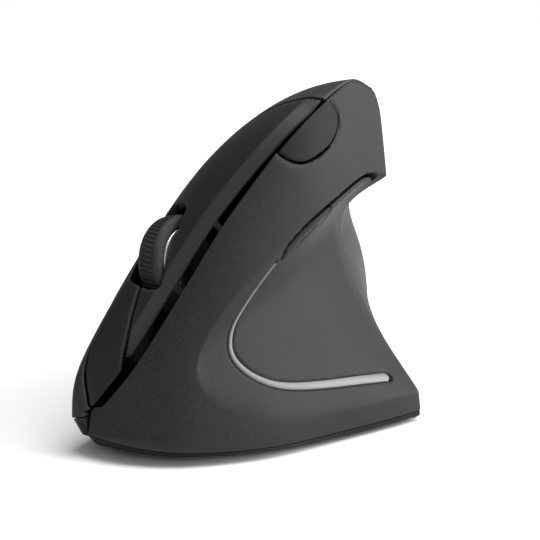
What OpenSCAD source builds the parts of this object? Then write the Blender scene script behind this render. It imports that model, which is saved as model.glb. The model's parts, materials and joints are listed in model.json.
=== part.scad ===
// Vertical ergonomic mouse for the right hand, wireless, in millimetres.
// +X points right, +Y to the nose and +Z up. The origin lies on the desk under the middle.

/* [Body] */
// Overall width across the thumb rest
body_w = 63; // [60:0.5:68]
// Overall length from nose to heel
body_l = 120; // [114:1:130]
// Overall height to the top of the fin
body_h = 75; // [70:0.5:82]
// Wall of the moulded shells
wall = 2; // [1.6:0.1:2.3]
// How far the thumb face bows out
face_bulge = 3; // [1.5:0.5:4.5]
// Depth of the thumb scoop at its open end
scoop_depth = 21; // [15:0.5:23]
// Height of the bevel where the finger blades rise from the ridge
bevel_h = 1.2; // [0.6:0.1:1.8]
// Width of that bevel
bevel_w = 3; // [2:0.25:5]

/* [Seams] */
// Width of the open ridge seam at the nose
ridge_gap_front = 1.9; // [1.4:0.1:2.2]
// Width of the ridge seam at the top
ridge_gap_rear = 0.9; // [0.8:0.1:1.2]
// Seam between the blades and the shell
blade_gap = 0.5; // [0.4:0.05:0.8]
// Seam round the small buttons
button_gap = 0.4; // [0.35:0.05:0.6]
// How much wider that seam is above the side buttons
side_shadow = 0.5; // [0.2:0.1:0.8]
// Seam between fixed pieces
joint_gap = 0.3; // [0.2:0.05:0.5]

/* [Buttons] */
// Place of the seam between the two blades, right of the middle, as a share of the width
seam_share = 0.333; // [0.31:0.001:0.35]
// Travel of the small buttons
button_press = 0.6; // [0.4:0.05:0.7]
// How proud the small buttons stand
button_proud = 0.4; // [0.2:0.1:0.8]

/* [Wheel] */
// Outer radius of the tyre
wheel_r = 11.5; // [11:0.25:12]
// Width of the tyre
wheel_w = 6.4; // [5.6:0.2:7]
// How far the tyre stands out of the blades
wheel_proud = 2.4; // [1.8:0.1:3]
// Radius of the hub inside the tyre
hub_r = 9; // [8:0.25:9.5]
// Number of ribs round the tyre
rib_count = 48; // [24:2:60]
// Depth of the ribs
rib_depth = 0.35; // [0.2:0.05:0.5]
// Radius of the axle
axle_r = 1.2; // [1:0.05:1.4]
// Running clearance round the axle
axle_fit = 0.05; // [0.03:0.01:0.08]
// Travel of the wheel click
click_travel = 0.5; // [0.3:0.05:0.6]

/* [Inlay] */
// Width of the silver strip at its upper tip
strip_thin = 0.9; // [0.7:0.1:1.4]
// Width of the strip at its lower end
strip_wide = 2.3; // [1.6:0.1:2.8]
// Thickness of the strip
strip_t = 0.9; // [0.7:0.1:1]

/* [Base] */
// Thickness of the glide feet
foot_t = 0.6; // [0.5:0.05:0.9]
// Half width of a glide foot
foot_r = 2.2; // [1.8:0.1:2.4]
// Thickness of the base floor
plate_t = 1.4; // [1.2:0.1:2]
// Height of the base rim above its floor
rim_h = 0.6; // [0.55:0.05:0.9]
// How far the chin tucks under the nose
chin_tuck = 9; // [5:0.5:10]
// How far the base tucks under elsewhere
side_tuck = 1.2; // [0.8:0.1:2]
// Radius of the base screws
screw_r = 1; // [0.8:0.05:1.2]

/* [Battery] */
// Diameter of the cell
cell_d = 10.5; // [10:0.1:11.5]
// Length of the cell body
cell_l = 43.5; // [42:0.1:45]
// Wall of the battery holder
holder_wall = 1.5; // [1.2:0.1:1.8]

/* [Electronics] */
// Thickness of the circuit boards
pcb_t = 1.2; // [1:0.1:1.6]
// Height of the main board above the base floor
pcb_lift = 5; // [4.5:0.25:6]
// Depth of the tilted switch board under the wheel opening
deck_depth = 19; // [18.5:0.25:20]
// Travel of the power slider
power_travel = 3; // [2:0.25:3.5]

/* [Hidden] */

$fn = 48;
matte_black = "#2b2b2d";
deep_black = "#121214";
silver = "#b4b6ba";
board_green = "#1f5a3a";
steel = "#9a9da3";
switch_grey = "#3c3f46";
ivory = "#d8d2c0";

// Heights of the base
floor_z = foot_t + plate_t;
skirt_z = floor_z + rim_h;

// Guide curves as shares of width, length and height, from the nose to the rear.
// The ridge ends at the fin, the foot line at the wing, the base line runs round the heel.
RIDGE = [[.413, .471, .133], [.31, .408, .28], [.19, .321, .487], [.071, .213, .707],
    [-.048, .079, .907], [-.111, -.079, .998], [-.167, -.154, .962]];
FOOT = [[.405, .492, .036], [.222, .494, .02], [.032, .464, .01], [-.19, .356, .003],
    [-.37, .18, 0], [-.455, .088, 0], [-.5, .029, 0]];
BASE = [[.43, .484, .088], [.491, .468, .07], [.499, .371, .023], [.499, .238, .003],
    [.499, .088, 0], [.499, -.079, 0], [.476, -.263, 0], [.413, -.404, 0], [.286, -.487, 0],
    [.143, -.487, 0], [.032, -.371, 0], [-.143, -.196, 0], [-.5, .029, 0]];

// Thumb scoop: where it starts along the shell, its middle line and its reach up and down
scoop_start = .36;
scoop_mid = .51;
scoop_up = .235;
scoop_down = .43;
inward = [cos(28), -sin(28), 0];

// Places along and across the two faces, as shares from nose to fin and from ridge to base
blade_tip = .168;
blade_rear = .745;
blade_start = .016;
nose_start = .004;
nose_tip = .01;
seam_x = seam_share * body_w;
wheel_at = .43;
palm_end = 1.97;
rear_trim = .05;
mitre = 1.15 * wall;
STRIP = [[.585, .34], [.54, .405], [.49, .475], [.472, .55], [.48, .63], [.51, .715],
    [.56, .785], [.64, .835], [.74, .865], [.84, .885]];
side_mid = .334;
side_half = .04;
SIDE_SPAN = [.605, .945];
side_split = .7275;
dpi_low = .118;

function clamp01(x) = max(0, min(1, x));
function lerp(a, b, t) = a + (b - a) * t;
function unit(v) = v / norm(v);
function ease(x) = let (t = clamp01(x)) t * t * (3 - 2 * t);
function steps(a, b, n) = [for (i = [0:n]) lerp(a, b, i / n)];
function flat(lists) = [for (l = lists) for (p = l) p];

// Smooth curve through a list of points, t from 0 to 1
function curve(pts, t) =
    let (m = len(pts) - 1, x = t * m, i = max(0, min(floor(x), m - 1)), f = x - i,
        b = pts[i], c = pts[i + 1],
        a = i > 0 ? pts[i - 1] : 2 * b - c,
        d = i < m - 1 ? pts[i + 2] : 2 * c - b)
    (2 * b + (c - a) * f + (2 * a - 5 * b + 4 * c - d) * f * f
        + (3 * b - a - 3 * c + d) * f * f * f) / 2;

function on_ridge(p) = [p[0] * body_w, p[1] * body_l, p[2] * body_h];
function on_skirt(p) = [p[0] * body_w, p[1] * body_l, skirt_z + p[2] * (body_h - skirt_z)];

// How far the scoop sinks at a place on the thumb face
function scoop(u, v) =
    let (s = clamp01((u - scoop_start) / (1 - scoop_start)),
        above = v < scoop_mid,
        reach = above ? scoop_up * sqrt(1 - pow(1 - s, 10)) : scoop_down * sqrt(1 - pow(1 - s, 5.5)),
        t = min(1, abs(v - scoop_mid) / max(reach, 1e-6)))
    scoop_depth * pow(s, .9) * pow(1 - t * t, 1.9 - (above ? .7 : .8) * s);

// Thumb face: u from nose to fin, v from the ridge down to the foot line
function left_point(u, v) =
    let (along = u * (1 - rear_trim * sin(180 * v)),
        bow = face_bulge * ease((u + .02) / .12) * (1 - pow(2 * v - 1, 6)) * (1 - .5 * u * u))
    on_ridge(curve(RIDGE, along)) * (1 - v) + on_skirt(curve(FOOT, along)) * v
        - (bow - scoop(u, v)) * inward;

// Finger and palm face: u from nose to fin (1) and down the fin's edge to the wing (2),
// v from that edge down to the base line, on one cubic arc per section
function right_point(u, v) =
    let (top = u <= 1 ? left_point(u, 0) : left_point(1, u - 1),
        foot = on_skirt(curve(BASE, u / 2)),
        k = clamp01(u), h = top[2] - foot[2],
        run = [foot[0] - top[0], foot[1] - top[1], 0],
        knee = top + (.95 - .47 * k) * run + [0, 0, (.02 - .08 * k) * h],
        side = foot + [0, 0, (.95 - .25 * k) * h],
        on_blades = clamp01((u - .1) / .1) * clamp01((.85 - u) / .12),
        rise = bevel_h * on_blades * clamp01(1.6 * v * norm(run) / bevel_w) * pow(1 - v, 2))
    pow(1 - v, 3) * top + 3 * v * pow(1 - v, 2) * knee + 3 * v * v * (1 - v) * side
        + pow(v, 3) * foot + rise * unit([.5, .2, .84]);

left_face = function (u, v) left_point(u, v);
right_face = function (u, v) right_point(u, v);

// Millimetres across the finger face per unit of v, square to the lines of u
function v_scale(u, v) =
    let (h = .01, du = right_point(u + h, v) - right_point(u - h, v),
        dv = (right_point(u, v + h) - right_point(u, v - h)) / (2 * h))
    norm(cross(du, dv)) / norm(du);

// Place on the finger face, at u, whose x is given
function v_at_x(u, x, low = 0, high = 1, n = 16) =
    let (m = (low + high) / 2)
    n == 0 ? m : right_point(u, m)[0] < x ? v_at_x(u, x, m, high, n - 1) : v_at_x(u, x, low, m, n - 1);

// Frame on a face: across, along, outward normal and place
function frame_on(face, turn, u, v) =
    let (h = .004, p = face(u, v), along = unit(face(u + h, v) - face(u - h, v)),
        n = turn * unit(cross(along, face(u, v + h) - face(u, v - h))))
    [cross(along, n), along, n, p];
function in_frame(frame, p) = let (d = p - frame[3]) [d * frame[0], d * frame[1], d * frame[2]];

// Place on a face that lies over a point of a frame, by Newton's steps
function under(face, frame, x, y, u, v, n = 6) =
    let (h = .002, p = in_frame(frame, face(u, v)),
        a = (in_frame(frame, face(u + h, v)) - p) / h,
        b = (in_frame(frame, face(u, v + h)) - p) / h,
        det = a[0] * b[1] - a[1] * b[0], ex = x - p[0], ey = y - p[1])
    n == 0 ? p[2] : under(face, frame, x, y,
        u + (ex * b[1] - ey * b[0]) / det, v + (a[0] * ey - a[1] * ex) / det, n - 1);

function lowest(face, frame, at, r, u, v) =
    min([for (x = [-r, 0, r], y = [-r, 0, r]) under(face, frame, at[0] + x, at[1] + y, u, v)]);

module to_frame(frame) {
    rows = [for (i = [0:2]) [frame[0][i], frame[1][i], frame[2][i], frame[3][i]]];
    multmatrix([rows[0], rows[1], rows[2], [0, 0, 0, 1]]) children();
}

// Grid of points on a face, moved along its normal by an offset; turn is 1 or -1.
// With reach 0 the normal comes from the grid, else from the face that far round the point.
// A level grid keeps the height of its last row, the rim that stands on the base.
function grid(face, turn, uvs, offset, reach, level) =
    let (p = [for (row = uvs) [for (q = row) face(q[0], q[1])]], m = len(p) - 1, n = len(p[0]) - 1)
    [for (i = [0:m]) [for (j = [0:n])
        let (u = uvs[i][j][0], v = uvs[i][j][1],
            du = reach > 0 ? face(u + reach, v) - face(u - reach, v)
                : p[min(i + 1, m)][j] - p[max(i - 1, 0)][j],
            dv = reach > 0 ? face(u, v + reach) - face(u, v - reach)
                : p[i][min(j + 1, n)] - p[i][max(j - 1, 0)],
            q = p[i][j] + offset * turn * unit(cross(du, dv)))
        level && j == n ? [q[0], q[1], p[i][j][2]] : q]];

function quad(a, b, c, d, flip) = flip ? [[a, c, b], [a, d, c]] : [[a, b, c], [a, c, d]];

// Closed wall between an outer and an inner grid of the same size
module wall_between(outer, inner, flip) {
    m = len(outer) - 1;
    n = len(outer[0]) - 1;
    o = function (i, j) i * (n + 1) + j;
    k = function (i, j) (m + 1) * (n + 1) + o(i, j);
    faces = flat(concat(
        [for (i = [0:m - 1], j = [0:n - 1]) quad(o(i, j), o(i + 1, j), o(i + 1, j + 1), o(i, j + 1), flip)],
        [for (i = [0:m - 1], j = [0:n - 1]) quad(k(i, j), k(i, j + 1), k(i + 1, j + 1), k(i + 1, j), flip)],
        [for (i = [0:m - 1]) quad(o(i + 1, 0), o(i, 0), k(i, 0), k(i + 1, 0), flip)],
        [for (i = [0:m - 1]) quad(o(i, n), o(i + 1, n), k(i + 1, n), k(i, n), flip)],
        [for (j = [0:n - 1]) quad(o(0, j), o(0, j + 1), k(0, j + 1), k(0, j), flip)],
        [for (j = [0:n - 1]) quad(o(m, j + 1), o(m, j), k(m, j), k(m, j + 1), flip)]));
    polyhedron(concat(flat(outer), flat(inner)), faces, convexity = 8);
}

// Piece of a face, from lists of its outer and inner places, between two offsets
module left_piece(outer_uv, inner_uv, out, in, level = false) {
    wall_between(grid(left_face, -1, outer_uv, out, 0, false),
        grid(left_face, -1, inner_uv, -in, 0, level), false);
}
module right_piece(outer_uv, inner_uv, out, in, level = false) {
    wall_between(grid(right_face, 1, outer_uv, out, 0, false),
        grid(right_face, 1, inner_uv, -in, .015, level), true);
}

// Open ridge seam: its width, and how much of it is taken from the thumb face near the nose
function ridge_gap(u) = lerp(ridge_gap_front, ridge_gap_rear, ease((u - .45) / (blade_rear - .45)));
function thumb_share(u) = 1 - ease((u - .12) / .36);
function left_scale(u) =
    let (h = .01, v = .05, du = left_point(u + h, v) - left_point(u - h, v),
        dv = (left_point(u, v + h) - left_point(u, v - h)) / (2 * h))
    norm(cross(du, dv)) / norm(du);
function shell_top(u) =
    ease((u - nose_tip) / .03) * thumb_share(u) * ridge_gap(u) / left_scale(u);

// Thumb-side shell: places are closer together towards the lip of the wing
function left_uv(rear, top) =
    [for (u = steps(0, 1 - rear, 28)) let (edge = top + shell_top(u))
        [for (t = steps(0, 1, 30)) [u, lerp(edge, 1, 1 - pow(1 - t, 1.35))]]];

// Side buttons: one band across the top of the scoop, drawn in at its ends.
// A stretch of it, widened by grow all round and by rise at its upper edge
function side_uv(from, to, n, grow = 0, rise = 0) =
    let (mid = (SIDE_SPAN[0] + SIDE_SPAN[1]) / 2, reach = (SIDE_SPAN[1] - SIDE_SPAN[0]) / 2)
    [for (u = steps(from - grow / body_l, to + grow / body_l, n))
        let (s = min(1, abs(u - mid) / reach), half = side_half * (1 - .45 * pow(s, 6)))
        [for (v = steps(-half - (grow + rise) / body_h, half + grow / body_h, 5)) [u, side_mid + v]]];
split_half = button_gap / 2 / body_l;

// Top button: straight along the ridge, round below
function dpi_uv(grow, top) =
    let (du = grow / body_l, low = dpi_low + grow / body_h)
    [for (s = steps(0, 1, 12)) [for (v = steps(top, low, 8))
        let (k = clamp01(v / low),
            front = .609 + .082 * pow(k, 1.6) - du,
            rear = .752 + .027 * sin(180 * k) - .03 * pow(k, 8) + du)
        [lerp(front, rear, s), v]]];

// Frames of the side buttons, the top button and the silver strip
side_frame = frame_on(left_face, -1, .73, side_mid);
dpi_frame = frame_on(left_face, -1, .69, .06);
function strip_frame(t) = let (q = curve(STRIP, t)) frame_on(left_face, -1, q[0], q[1]);
function strip_width(t) = lerp(strip_thin, strip_wide, ease(t));
strip_steps = 26;

// Boards behind the small buttons: near corner, size and the places of switches and bosses
tact = [4, 4, 3.2];
plunger_r = .8;
plunger_fit = .3;
boss_r = 1.7;
side_board_z = -.1 * body_w - button_press / 2;
side_board = [[.2, -10.6], [7.8, 24.6]];
SIDE_SWITCHES = [[2.2, -7.8], [2.2, 9]];
SIDE_BOSSES = [[6.2, -8.7], [6.2, 10.8]];
dpi_board_z = -9;
dpi_board = [[-.2, -8.5], [6.6, 13]];
dpi_switch_at = [2.2, 1];
dpi_boss = [4.6, -6.4];

module left_shell() {
    color(matte_black) difference() {
        union() {
            left_piece(left_uv(0, 0), left_uv(mitre / body_l, mitre / body_h), 0, wall, true);
            for (p = SIDE_BOSSES) board_boss(side_frame, p, side_board_z);
            board_boss(dpi_frame, dpi_boss, dpi_board_z);
        }
        cutter = wall + 2;
        opening = side_uv(SIDE_SPAN[0], SIDE_SPAN[1], 20, button_gap, side_shadow);
        for (travel = [0, button_press]) translate(-travel * side_frame[2])
            left_piece(opening, opening, 2, cutter);
        left_piece(dpi_uv(button_gap, -.03), dpi_uv(button_gap, -.03), 2, cutter);
        strip_groove();
    }
}

// Boss from a board up into the wall that it hangs from
module board_boss(frame, at, board_z) {
    start = frame == dpi_frame ? [.65, .12] : [.73, .4];
    top = lowest(left_face, frame, at, boss_r, start[0], start[1]) - wall / 3;
    to_frame(frame) translate([at[0], at[1], board_z]) cylinder(h = top - board_z, r = boss_r, $fn = 16);
}

module strip_groove() {
    for (i = [0:2:strip_steps - 2]) hull() for (k = [i, i + 2]) {
        t = k / strip_steps;
        to_frame(strip_frame(t)) translate([0, 0, -strip_t - joint_gap / 2])
            cylinder(h = 2 * strip_t, r = strip_width(t) / 2 + joint_gap, $fn = 8);
    }
}

module thumb_strip() {
    ring = function (t) let (f = strip_frame(t), w = strip_width(t) / 2)
        [for (c = [[-w, -strip_t], [-w, 0], [-.6 * w, .2], [.6 * w, .2], [w, 0], [w, -strip_t]])
            f[3] + strip_across(t) * c[0] + f[2] * c[1]];
    color(silver) swept([for (t = steps(0, 1, strip_steps)) ring(t)]);
}
function strip_across(t) =
    let (f = strip_frame(t), h = .01, a = curve(STRIP, max(0, t - h)), b = curve(STRIP, min(1, t + h)))
    unit(cross(f[2], left_point(b[0], b[1]) - left_point(a[0], a[1])));

// Closed bar through a row of rings of an even count; its ends are rungs across the ring
function rungs(first, n, flip) =
    flat([for (i = [0:n / 2 - 2])
        quad(first + i, first + i + 1, first + n - 2 - i, first + n - 1 - i, flip)]);
module swept(rings) {
    n = len(rings[0]);
    m = len(rings) - 1;
    sides = flat([for (i = [0:m - 1], j = [0:n - 1])
        quad(i * n + j, i * n + (j + 1) % n, (i + 1) * n + (j + 1) % n, (i + 1) * n + j, false)]);
    polyhedron(flat(rings), concat(sides, rungs(0, n, true), rungs(m * n, n, false)), convexity = 6);
}

// Rest of the ridge seam, the blade seam and the lower seam, on the finger face
ridge_least = .15;
function ridge_v(u, extra = 0) =
    (max(ridge_least, (1 - thumb_share(u)) * ridge_gap(u)) + extra) / v_scale(u, .05);
function seam_v(u) = left_point(u, 0)[0] > seam_x ? 0 : v_at_x(u, seam_x);
function lower_v(u) =
    .3 * sqrt(1 - pow(1 - clamp01((u - nose_tip) / .05), 2)) + .42 * pow(clamp01((u - .06) / .74), .62);
function low_scale(u) =
    let (h = .008, along = right_point(u + h, lower_v(u + h)) - right_point(u - h, lower_v(u - h)),
        across = (right_point(u, lower_v(u) + h) - right_point(u, lower_v(u) - h)) / (2 * h))
    norm(cross(along, across)) / norm(along);

// Slot round the wheel, open along the seam
function on_seam(u) = right_point(u, v_at_x(u, seam_x));
slot_room = 2.8;
wheel_chord = sqrt(wheel_r * wheel_r - pow(wheel_r - wheel_proud - wall, 2));
slot_half_u = (wheel_chord + slot_room) * .1 / norm(on_seam(wheel_at + .05) - on_seam(wheel_at - .05));
slot_side = wheel_w / 2 + 1.2;
slot_ends = [wheel_at - slot_half_u, wheel_at + slot_half_u];
draft = .25;
slot_draft = 1.5;
function low_draft(u) = draft * (5 - 4 * ease((u - .15) / .15));
function seam_half(u, edge) =
    u > slot_ends[0] && u < slot_ends[1] ? slot_side + edge * slot_draft : (blade_gap + edge * draft) / 2;
function slot_steps(from, to) =
    concat(steps(from, slot_ends[0] - .002, 6), steps(slot_ends[0] + .002, slot_ends[1] - .002, 5),
        steps(slot_ends[1] + .002, to, 8));
blade_steps = concat([for (t = steps(0, .9, 9)) lerp(blade_start, blade_tip, t * t)],
    slot_steps(blade_tip, blade_rear));

// Rows of the blades are turned square to the seam: place along the face at v on the row of u,
// and the v where that row meets a limit
row_skew = .17;
function row_u(u, v) =
    u + row_skew * ease((u - blade_tip) / .08) * ease((blade_rear - u) / .12) * (v - seam_v(u));
function meet(u, limit) = limit(row_u(u, limit(row_u(u, limit(u)))));

// The blade seam is a flat cut, so its inner places stand off by what the wall leans
function lean(u, edge) = edge * wall * frame_on(right_face, 1, u, max(seam_v(u), .02))[2][0];

// The inner places of a blade lie further in than the outer ones: edge is 0 outside, 1 inside
module left_button() {
    uvs = function (edge) [for (u = slot_steps(blade_tip, blade_rear))
        let (high = meet(u, function (w) v_at_x(w, seam_x - seam_half(u, edge) + lean(w, edge))),
            low = min(meet(u, function (w) ridge_v(w, edge * mitre)), high - .008))
        [for (v = steps(low, high, 6)) [row_u(u, v), v]]];
    color(matte_black) right_piece(uvs(0), uvs(1), 0, wall);
}

function beside_seam(u, x) = right_point(u, 0)[0] > x ? 0 : v_at_x(u, x);
module right_button() {
    uvs = function (edge) [for (u = blade_steps)
        let (low = meet(u, function (w) lower_v(w) - (blade_gap / 2 + edge * low_draft(w)) / low_scale(w)),
            seam = function (w) beside_seam(w, seam_x + seam_half(u, edge) + lean(w, edge)),
            high = meet(u, function (w) max(ridge_v(w, edge * mitre), seam(w))))
        [for (v = steps(min(high, low - .03), low, 6)) [row_u(u, v), v]]];
    color(matte_black) right_piece(uvs(0), uvs(1), 0, wall);
}

// Heel and side; its upper edge drops from the ridge to the lower seam behind the blades
module palm_shell() {
    behind = blade_rear + blade_gap / body_l;
    crest = function (u, edge) (joint_gap + edge * mitre) / v_scale(u, .05);
    upper = function (u, edge)
        max(crest(u, edge), lower_v(u) + (blade_gap / 2 + edge * low_draft(u)) / low_scale(u));
    row = function (u, v) [for (w = steps(v, 1, 9)) [u, w]];
    uvs = function (edge) concat(
        [for (u = concat(steps(nose_start, nose_tip, 2), blade_steps)) row(u, upper(u, edge))],
        [for (t = steps(0, 1, 8))
            row(behind + .002 * t, lerp(upper(behind, edge), crest(behind, edge), t))],
        [for (u = concat(steps(behind + .02, 1, 5), [for (t = steps(.04, 1, 24)) lerp(1, palm_end, t)]))
            row(u, crest(u, edge))]);
    color(matte_black) right_piece(uvs(0), uvs(1), 0, wall, true);
}

// Dark rib behind the open seam; it stops short of the wheel
module ridge_spine() {
    drop = [(mitre + .9) / body_h, (mitre + 2.6) / body_h];
    color(deep_black) for (span = [[.08, .27], [.48, .585]]) {
        uvs = [for (u = steps(span[0], span[1], 8)) [for (v = steps(drop[0], drop[1], 2)) [u, v]]];
        left_piece(uvs, uvs, -wall - .15, wall + 1.6);
    }
}

module dpi_button() {
    color(matte_black) left_piece(dpi_uv(0, .006), dpi_uv(0, .006 + 3 / body_h), button_proud / 2, wall);
}
module side_button(from, to) {
    uvs = side_uv(from, to, 12);
    color(matte_black) left_piece(uvs, uvs, button_proud, wall);
}
module forward_button() side_button(SIDE_SPAN[0], side_split - split_half);
module back_button() side_button(side_split + split_half, SIDE_SPAN[1]);

// Edge of the shells seen from below, anticlockwise from the nose: as many places on the way
// over the wing to the heel as on the way back along the right side
heel_u = 1.3;
function skirt_edge() = concat([for (u = steps(0, 1, 24)) left_point(u, 1)],
    [for (u = concat(steps(palm_end, heel_u, 10), steps(heel_u - .04, 0, 35))) right_point(u, 1)]);
function shrink(loop, by) = let (n = len(loop)) [for (i = [0:n - 1])
    let (d = loop[(i + 1) % n] - loop[(i + n - 1) % n], t = unit([d[0], d[1], 0]))
    loop[i] + by(loop[i]) * [-t[1], t[0], 0]];

// The chin draws the underside back from the nose, and in from both sides of it
chin_x = .16;
function chin(p) =
    let (k = ease((p[1] / body_l - .17) / .3), spread = p[0] / body_w - chin_x)
    (chin_tuck - side_tuck) * k * [-1.2 * spread, -1, 0];

// Places on the base
cell_x = .23 * body_w;
cell_front = .08 * body_l;
cell_z = floor_z + .4 + cell_d / 2;
door_half = cell_d / 2 + .5;
door_fit = .2;
door_front = cell_front + 1;
door_rear = -.467 * body_l;
door_taper = 7;
power_at = [-.16 * body_w, .02 * body_l];
sensor_at = [-.05 * body_w, .25 * body_l];

// Floor with a rim round it that follows the edge of the shells
rim_w = 1.6;
module base_plate() {
    edge = skirt_edge();
    loop = function (by) shrink(edge, function (p) joint_gap + by);
    level = function (points, z) [for (p = points) [p[0], p[1], z]];
    sunk = function (points) [for (p = points) p - [0, 0, joint_gap]];
    top = sunk(loop(0));
    inner = sunk(loop(rim_w));
    mid = [for (p = top) let (q = p + .3 * chin(p)) [q[0], q[1], lerp(q[2], foot_t, .6)]];
    tucked = function (by) [for (p = loop(side_tuck + by)) p + chin(p)];
    color(deep_black) difference() {
        swept([level(tucked(rim_w / 4), floor_z), inner, top, mid, level(tucked(0), foot_t)]);
        translate([cell_x - door_half, -body_l, 0])
            cube([2 * door_half, body_l + door_front + door_fit, floor_z + 1]);
        translate([power_at[0] - 1.7, power_at[1] - 2 - power_travel / 2 - .3, 0])
            cube([3.4, 4.6 + power_travel, floor_z + 1]);
        translate([sensor_at[0], sensor_at[1], 0]) cylinder(h = floor_z + 1, r = 3.5);
        for (p = post_places) translate([p[0], p[1], 0]) {
            cylinder(h = floor_z + 1, r = screw_r + .2);
            cylinder(h = foot_t + .8, r = 2 * screw_r + .3);
        }
    }
}

// Posts that carry the tilted switch board, given in the wheel's frame
seam_at_wheel = v_at_x(wheel_at, seam_x);
wheel_normal = frame_on(right_face, 1, wheel_at, seam_at_wheel)[2];
wheel_along = unit(cross(wheel_normal, [1, 0, 0]));
wheel_frame = [cross(wheel_along, wheel_normal), wheel_along, wheel_normal,
    right_point(wheel_at, seam_at_wheel)];
function from_wheel(p) =
    wheel_frame[3] + p[0] * wheel_frame[0] + p[1] * wheel_frame[1] + p[2] * wheel_frame[2];
axle_z = wheel_proud - wheel_r;
post_r = 2.5;
pad_t = 3.2;
PADS = [[8, 18], [-9, -3], [-2, 18]];
post_places = [for (p = PADS) from_wheel([p[0], p[1], -deck_depth - pcb_t - post_r])];

module base_screws() {
    color(steel) for (p = post_places) translate([p[0], p[1], foot_t + .1]) {
        cylinder(h = .7, r = 2 * screw_r);
        cylinder(h = floor_z + 5, r = screw_r);
    }
}

module inner_frame() {
    color(deep_black) for (i = [0:len(PADS) - 1]) difference() {
        p = post_places[i];
        union() {
            translate([p[0], p[1], floor_z]) cylinder(h = p[2] - floor_z, r = post_r);
            translate([p[0], p[1], floor_z]) cylinder(h = pcb_lift, r = post_r + 1.5);
            to_frame(wheel_frame) translate([PADS[i][0] - 3, PADS[i][1] - 3, -deck_depth - pcb_t - pad_t])
                cube([6, 6, pad_t]);
        }
        translate([p[0], p[1], floor_z - 1]) cylinder(h = 8, r = screw_r);
    }
}

FEET = [[.13, .365, 12, 0], [-.33, .05, 0, 8], [.43, -.17, 0, 18], [.0, -.2, 0, 16]];
module feet() {
    color("#3a3a3c") for (f = FEET) translate([f[0] * body_w, f[1] * body_l, 0]) {
        for (s = [-1, 1]) translate([s * f[2] / 2, s * f[3] / 2, 0]) cylinder(h = foot_t, r = foot_r);
        translate([-max(f[2] / 2, foot_r), -max(f[3] / 2, foot_r), 0])
            cube([max(f[2], 2 * foot_r), max(f[3], 2 * foot_r), foot_t]);
    }
}

module battery_door() {
    half = door_half - door_fit;
    nose = half - 3;
    color(deep_black) difference() {
        translate([cell_x, 0, foot_t + .05]) linear_extrude(plate_t - .15)
            polygon([[-half, door_front], [half, door_front], [half, door_rear + door_taper],
                [nose, door_rear], [-nose, door_rear], [-half, door_rear + door_taper]]);
        for (k = [0:4]) translate([cell_x - 4, door_rear + door_taper + 2 * k, foot_t]) cube([8, .9, .4]);
    }
}

module holder_form(r, from, to, bottom) {
    translate([cell_x, to, cell_z]) rotate([90, 0, 0]) linear_extrude(to - from) {
        intersection() {
            circle(r);
            translate([-r, 0]) square([2 * r, r]);
        }
        translate([-r, bottom - cell_z]) square([2 * r, cell_z - bottom]);
    }
}
contact_room = 5;
holder_front = cell_front + 1;
contact_t = .6;
contact_w = .68 * cell_d;
holder_rear = cell_front - cell_l - contact_room;
module battery_holder() {
    color(deep_black) difference() {
        holder_form(door_half + holder_wall, holder_rear - holder_wall, holder_front + holder_wall, floor_z);
        holder_form(door_half, holder_rear, holder_front, floor_z - 1);
    }
}
module battery() {
    color("#55585e") translate([cell_x, cell_front - 1, cell_z]) rotate([90, 0, 0]) {
        cylinder(h = cell_l, r = cell_d / 2);
        translate([0, 0, -1]) cylinder(h = 1, r = .18 * cell_d);
    }
}
module battery_contacts() {
    color(steel) {
        for (y = [holder_front - contact_t, holder_rear])
            translate([cell_x - contact_w / 2, y, cell_z - contact_w / 2])
                cube([contact_w, contact_t, contact_w]);
        translate([cell_x, holder_rear + contact_t, cell_z]) rotate([-90, 0, 0])
            cylinder(h = contact_room - contact_t - 1.1, r1 = .32 * cell_d, r2 = .18 * cell_d);
    }
}

// Main board with its sensor, on the collars of the posts
board_z = floor_z + pcb_lift;
board_from = [-.14 * body_w, .2 * body_l];
board_to = [.4 * body_w, .34 * body_l];
module main_pcb() {
    color(board_green) difference() {
        translate([board_from[0], board_from[1], board_z]) cube(concat(board_to - board_from, [pcb_t]));
        for (p = post_places) translate([p[0], p[1], board_z - 1])
            cylinder(h = pcb_t + 2, r = post_r + joint_gap);
        translate([sensor_at[0], sensor_at[1], board_z - 1]) cylinder(h = pcb_t + 2, r = 2);
    }
}
module sensor() {
    color(deep_black) translate([sensor_at[0] - 4, sensor_at[1] - 5, board_z + pcb_t]) cube([8, 10, 2.4]);
}
module sensor_lens() {
    color("#9fb4c8") {
        translate([sensor_at[0] - 5, sensor_at[1] - 6, floor_z]) cube([10, 12, 1]);
        translate([sensor_at[0], sensor_at[1], foot_t + .5]) cylinder(h = plate_t - .5, r = 3.2);
        translate([sensor_at[0], sensor_at[1], floor_z + 1]) cylinder(h = pcb_lift - 1, r = 3);
    }
}

module power_switch() {
    cavity = [2.4, 2.4 + power_travel, 2.5];
    color(switch_grey) translate([power_at[0], power_at[1], floor_z]) difference() {
        translate([-3.5, -3.5 - power_travel / 2, 0]) cube([7, 7 + power_travel, 4]);
        translate([-cavity[0] / 2, -cavity[1] / 2, -1]) cube(cavity + [0, 0, 1]);
    }
}
module power_slider() {
    color(silver) translate([power_at[0], power_at[1] - power_travel / 2, 0]) {
        translate([-1.45, -2, foot_t + .3]) cube([2.9, 4, plate_t - .4]);
        translate([-.8, -.8, floor_z - .1]) cube([1.6, 1.6, 2.2]);
    }
}

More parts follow.
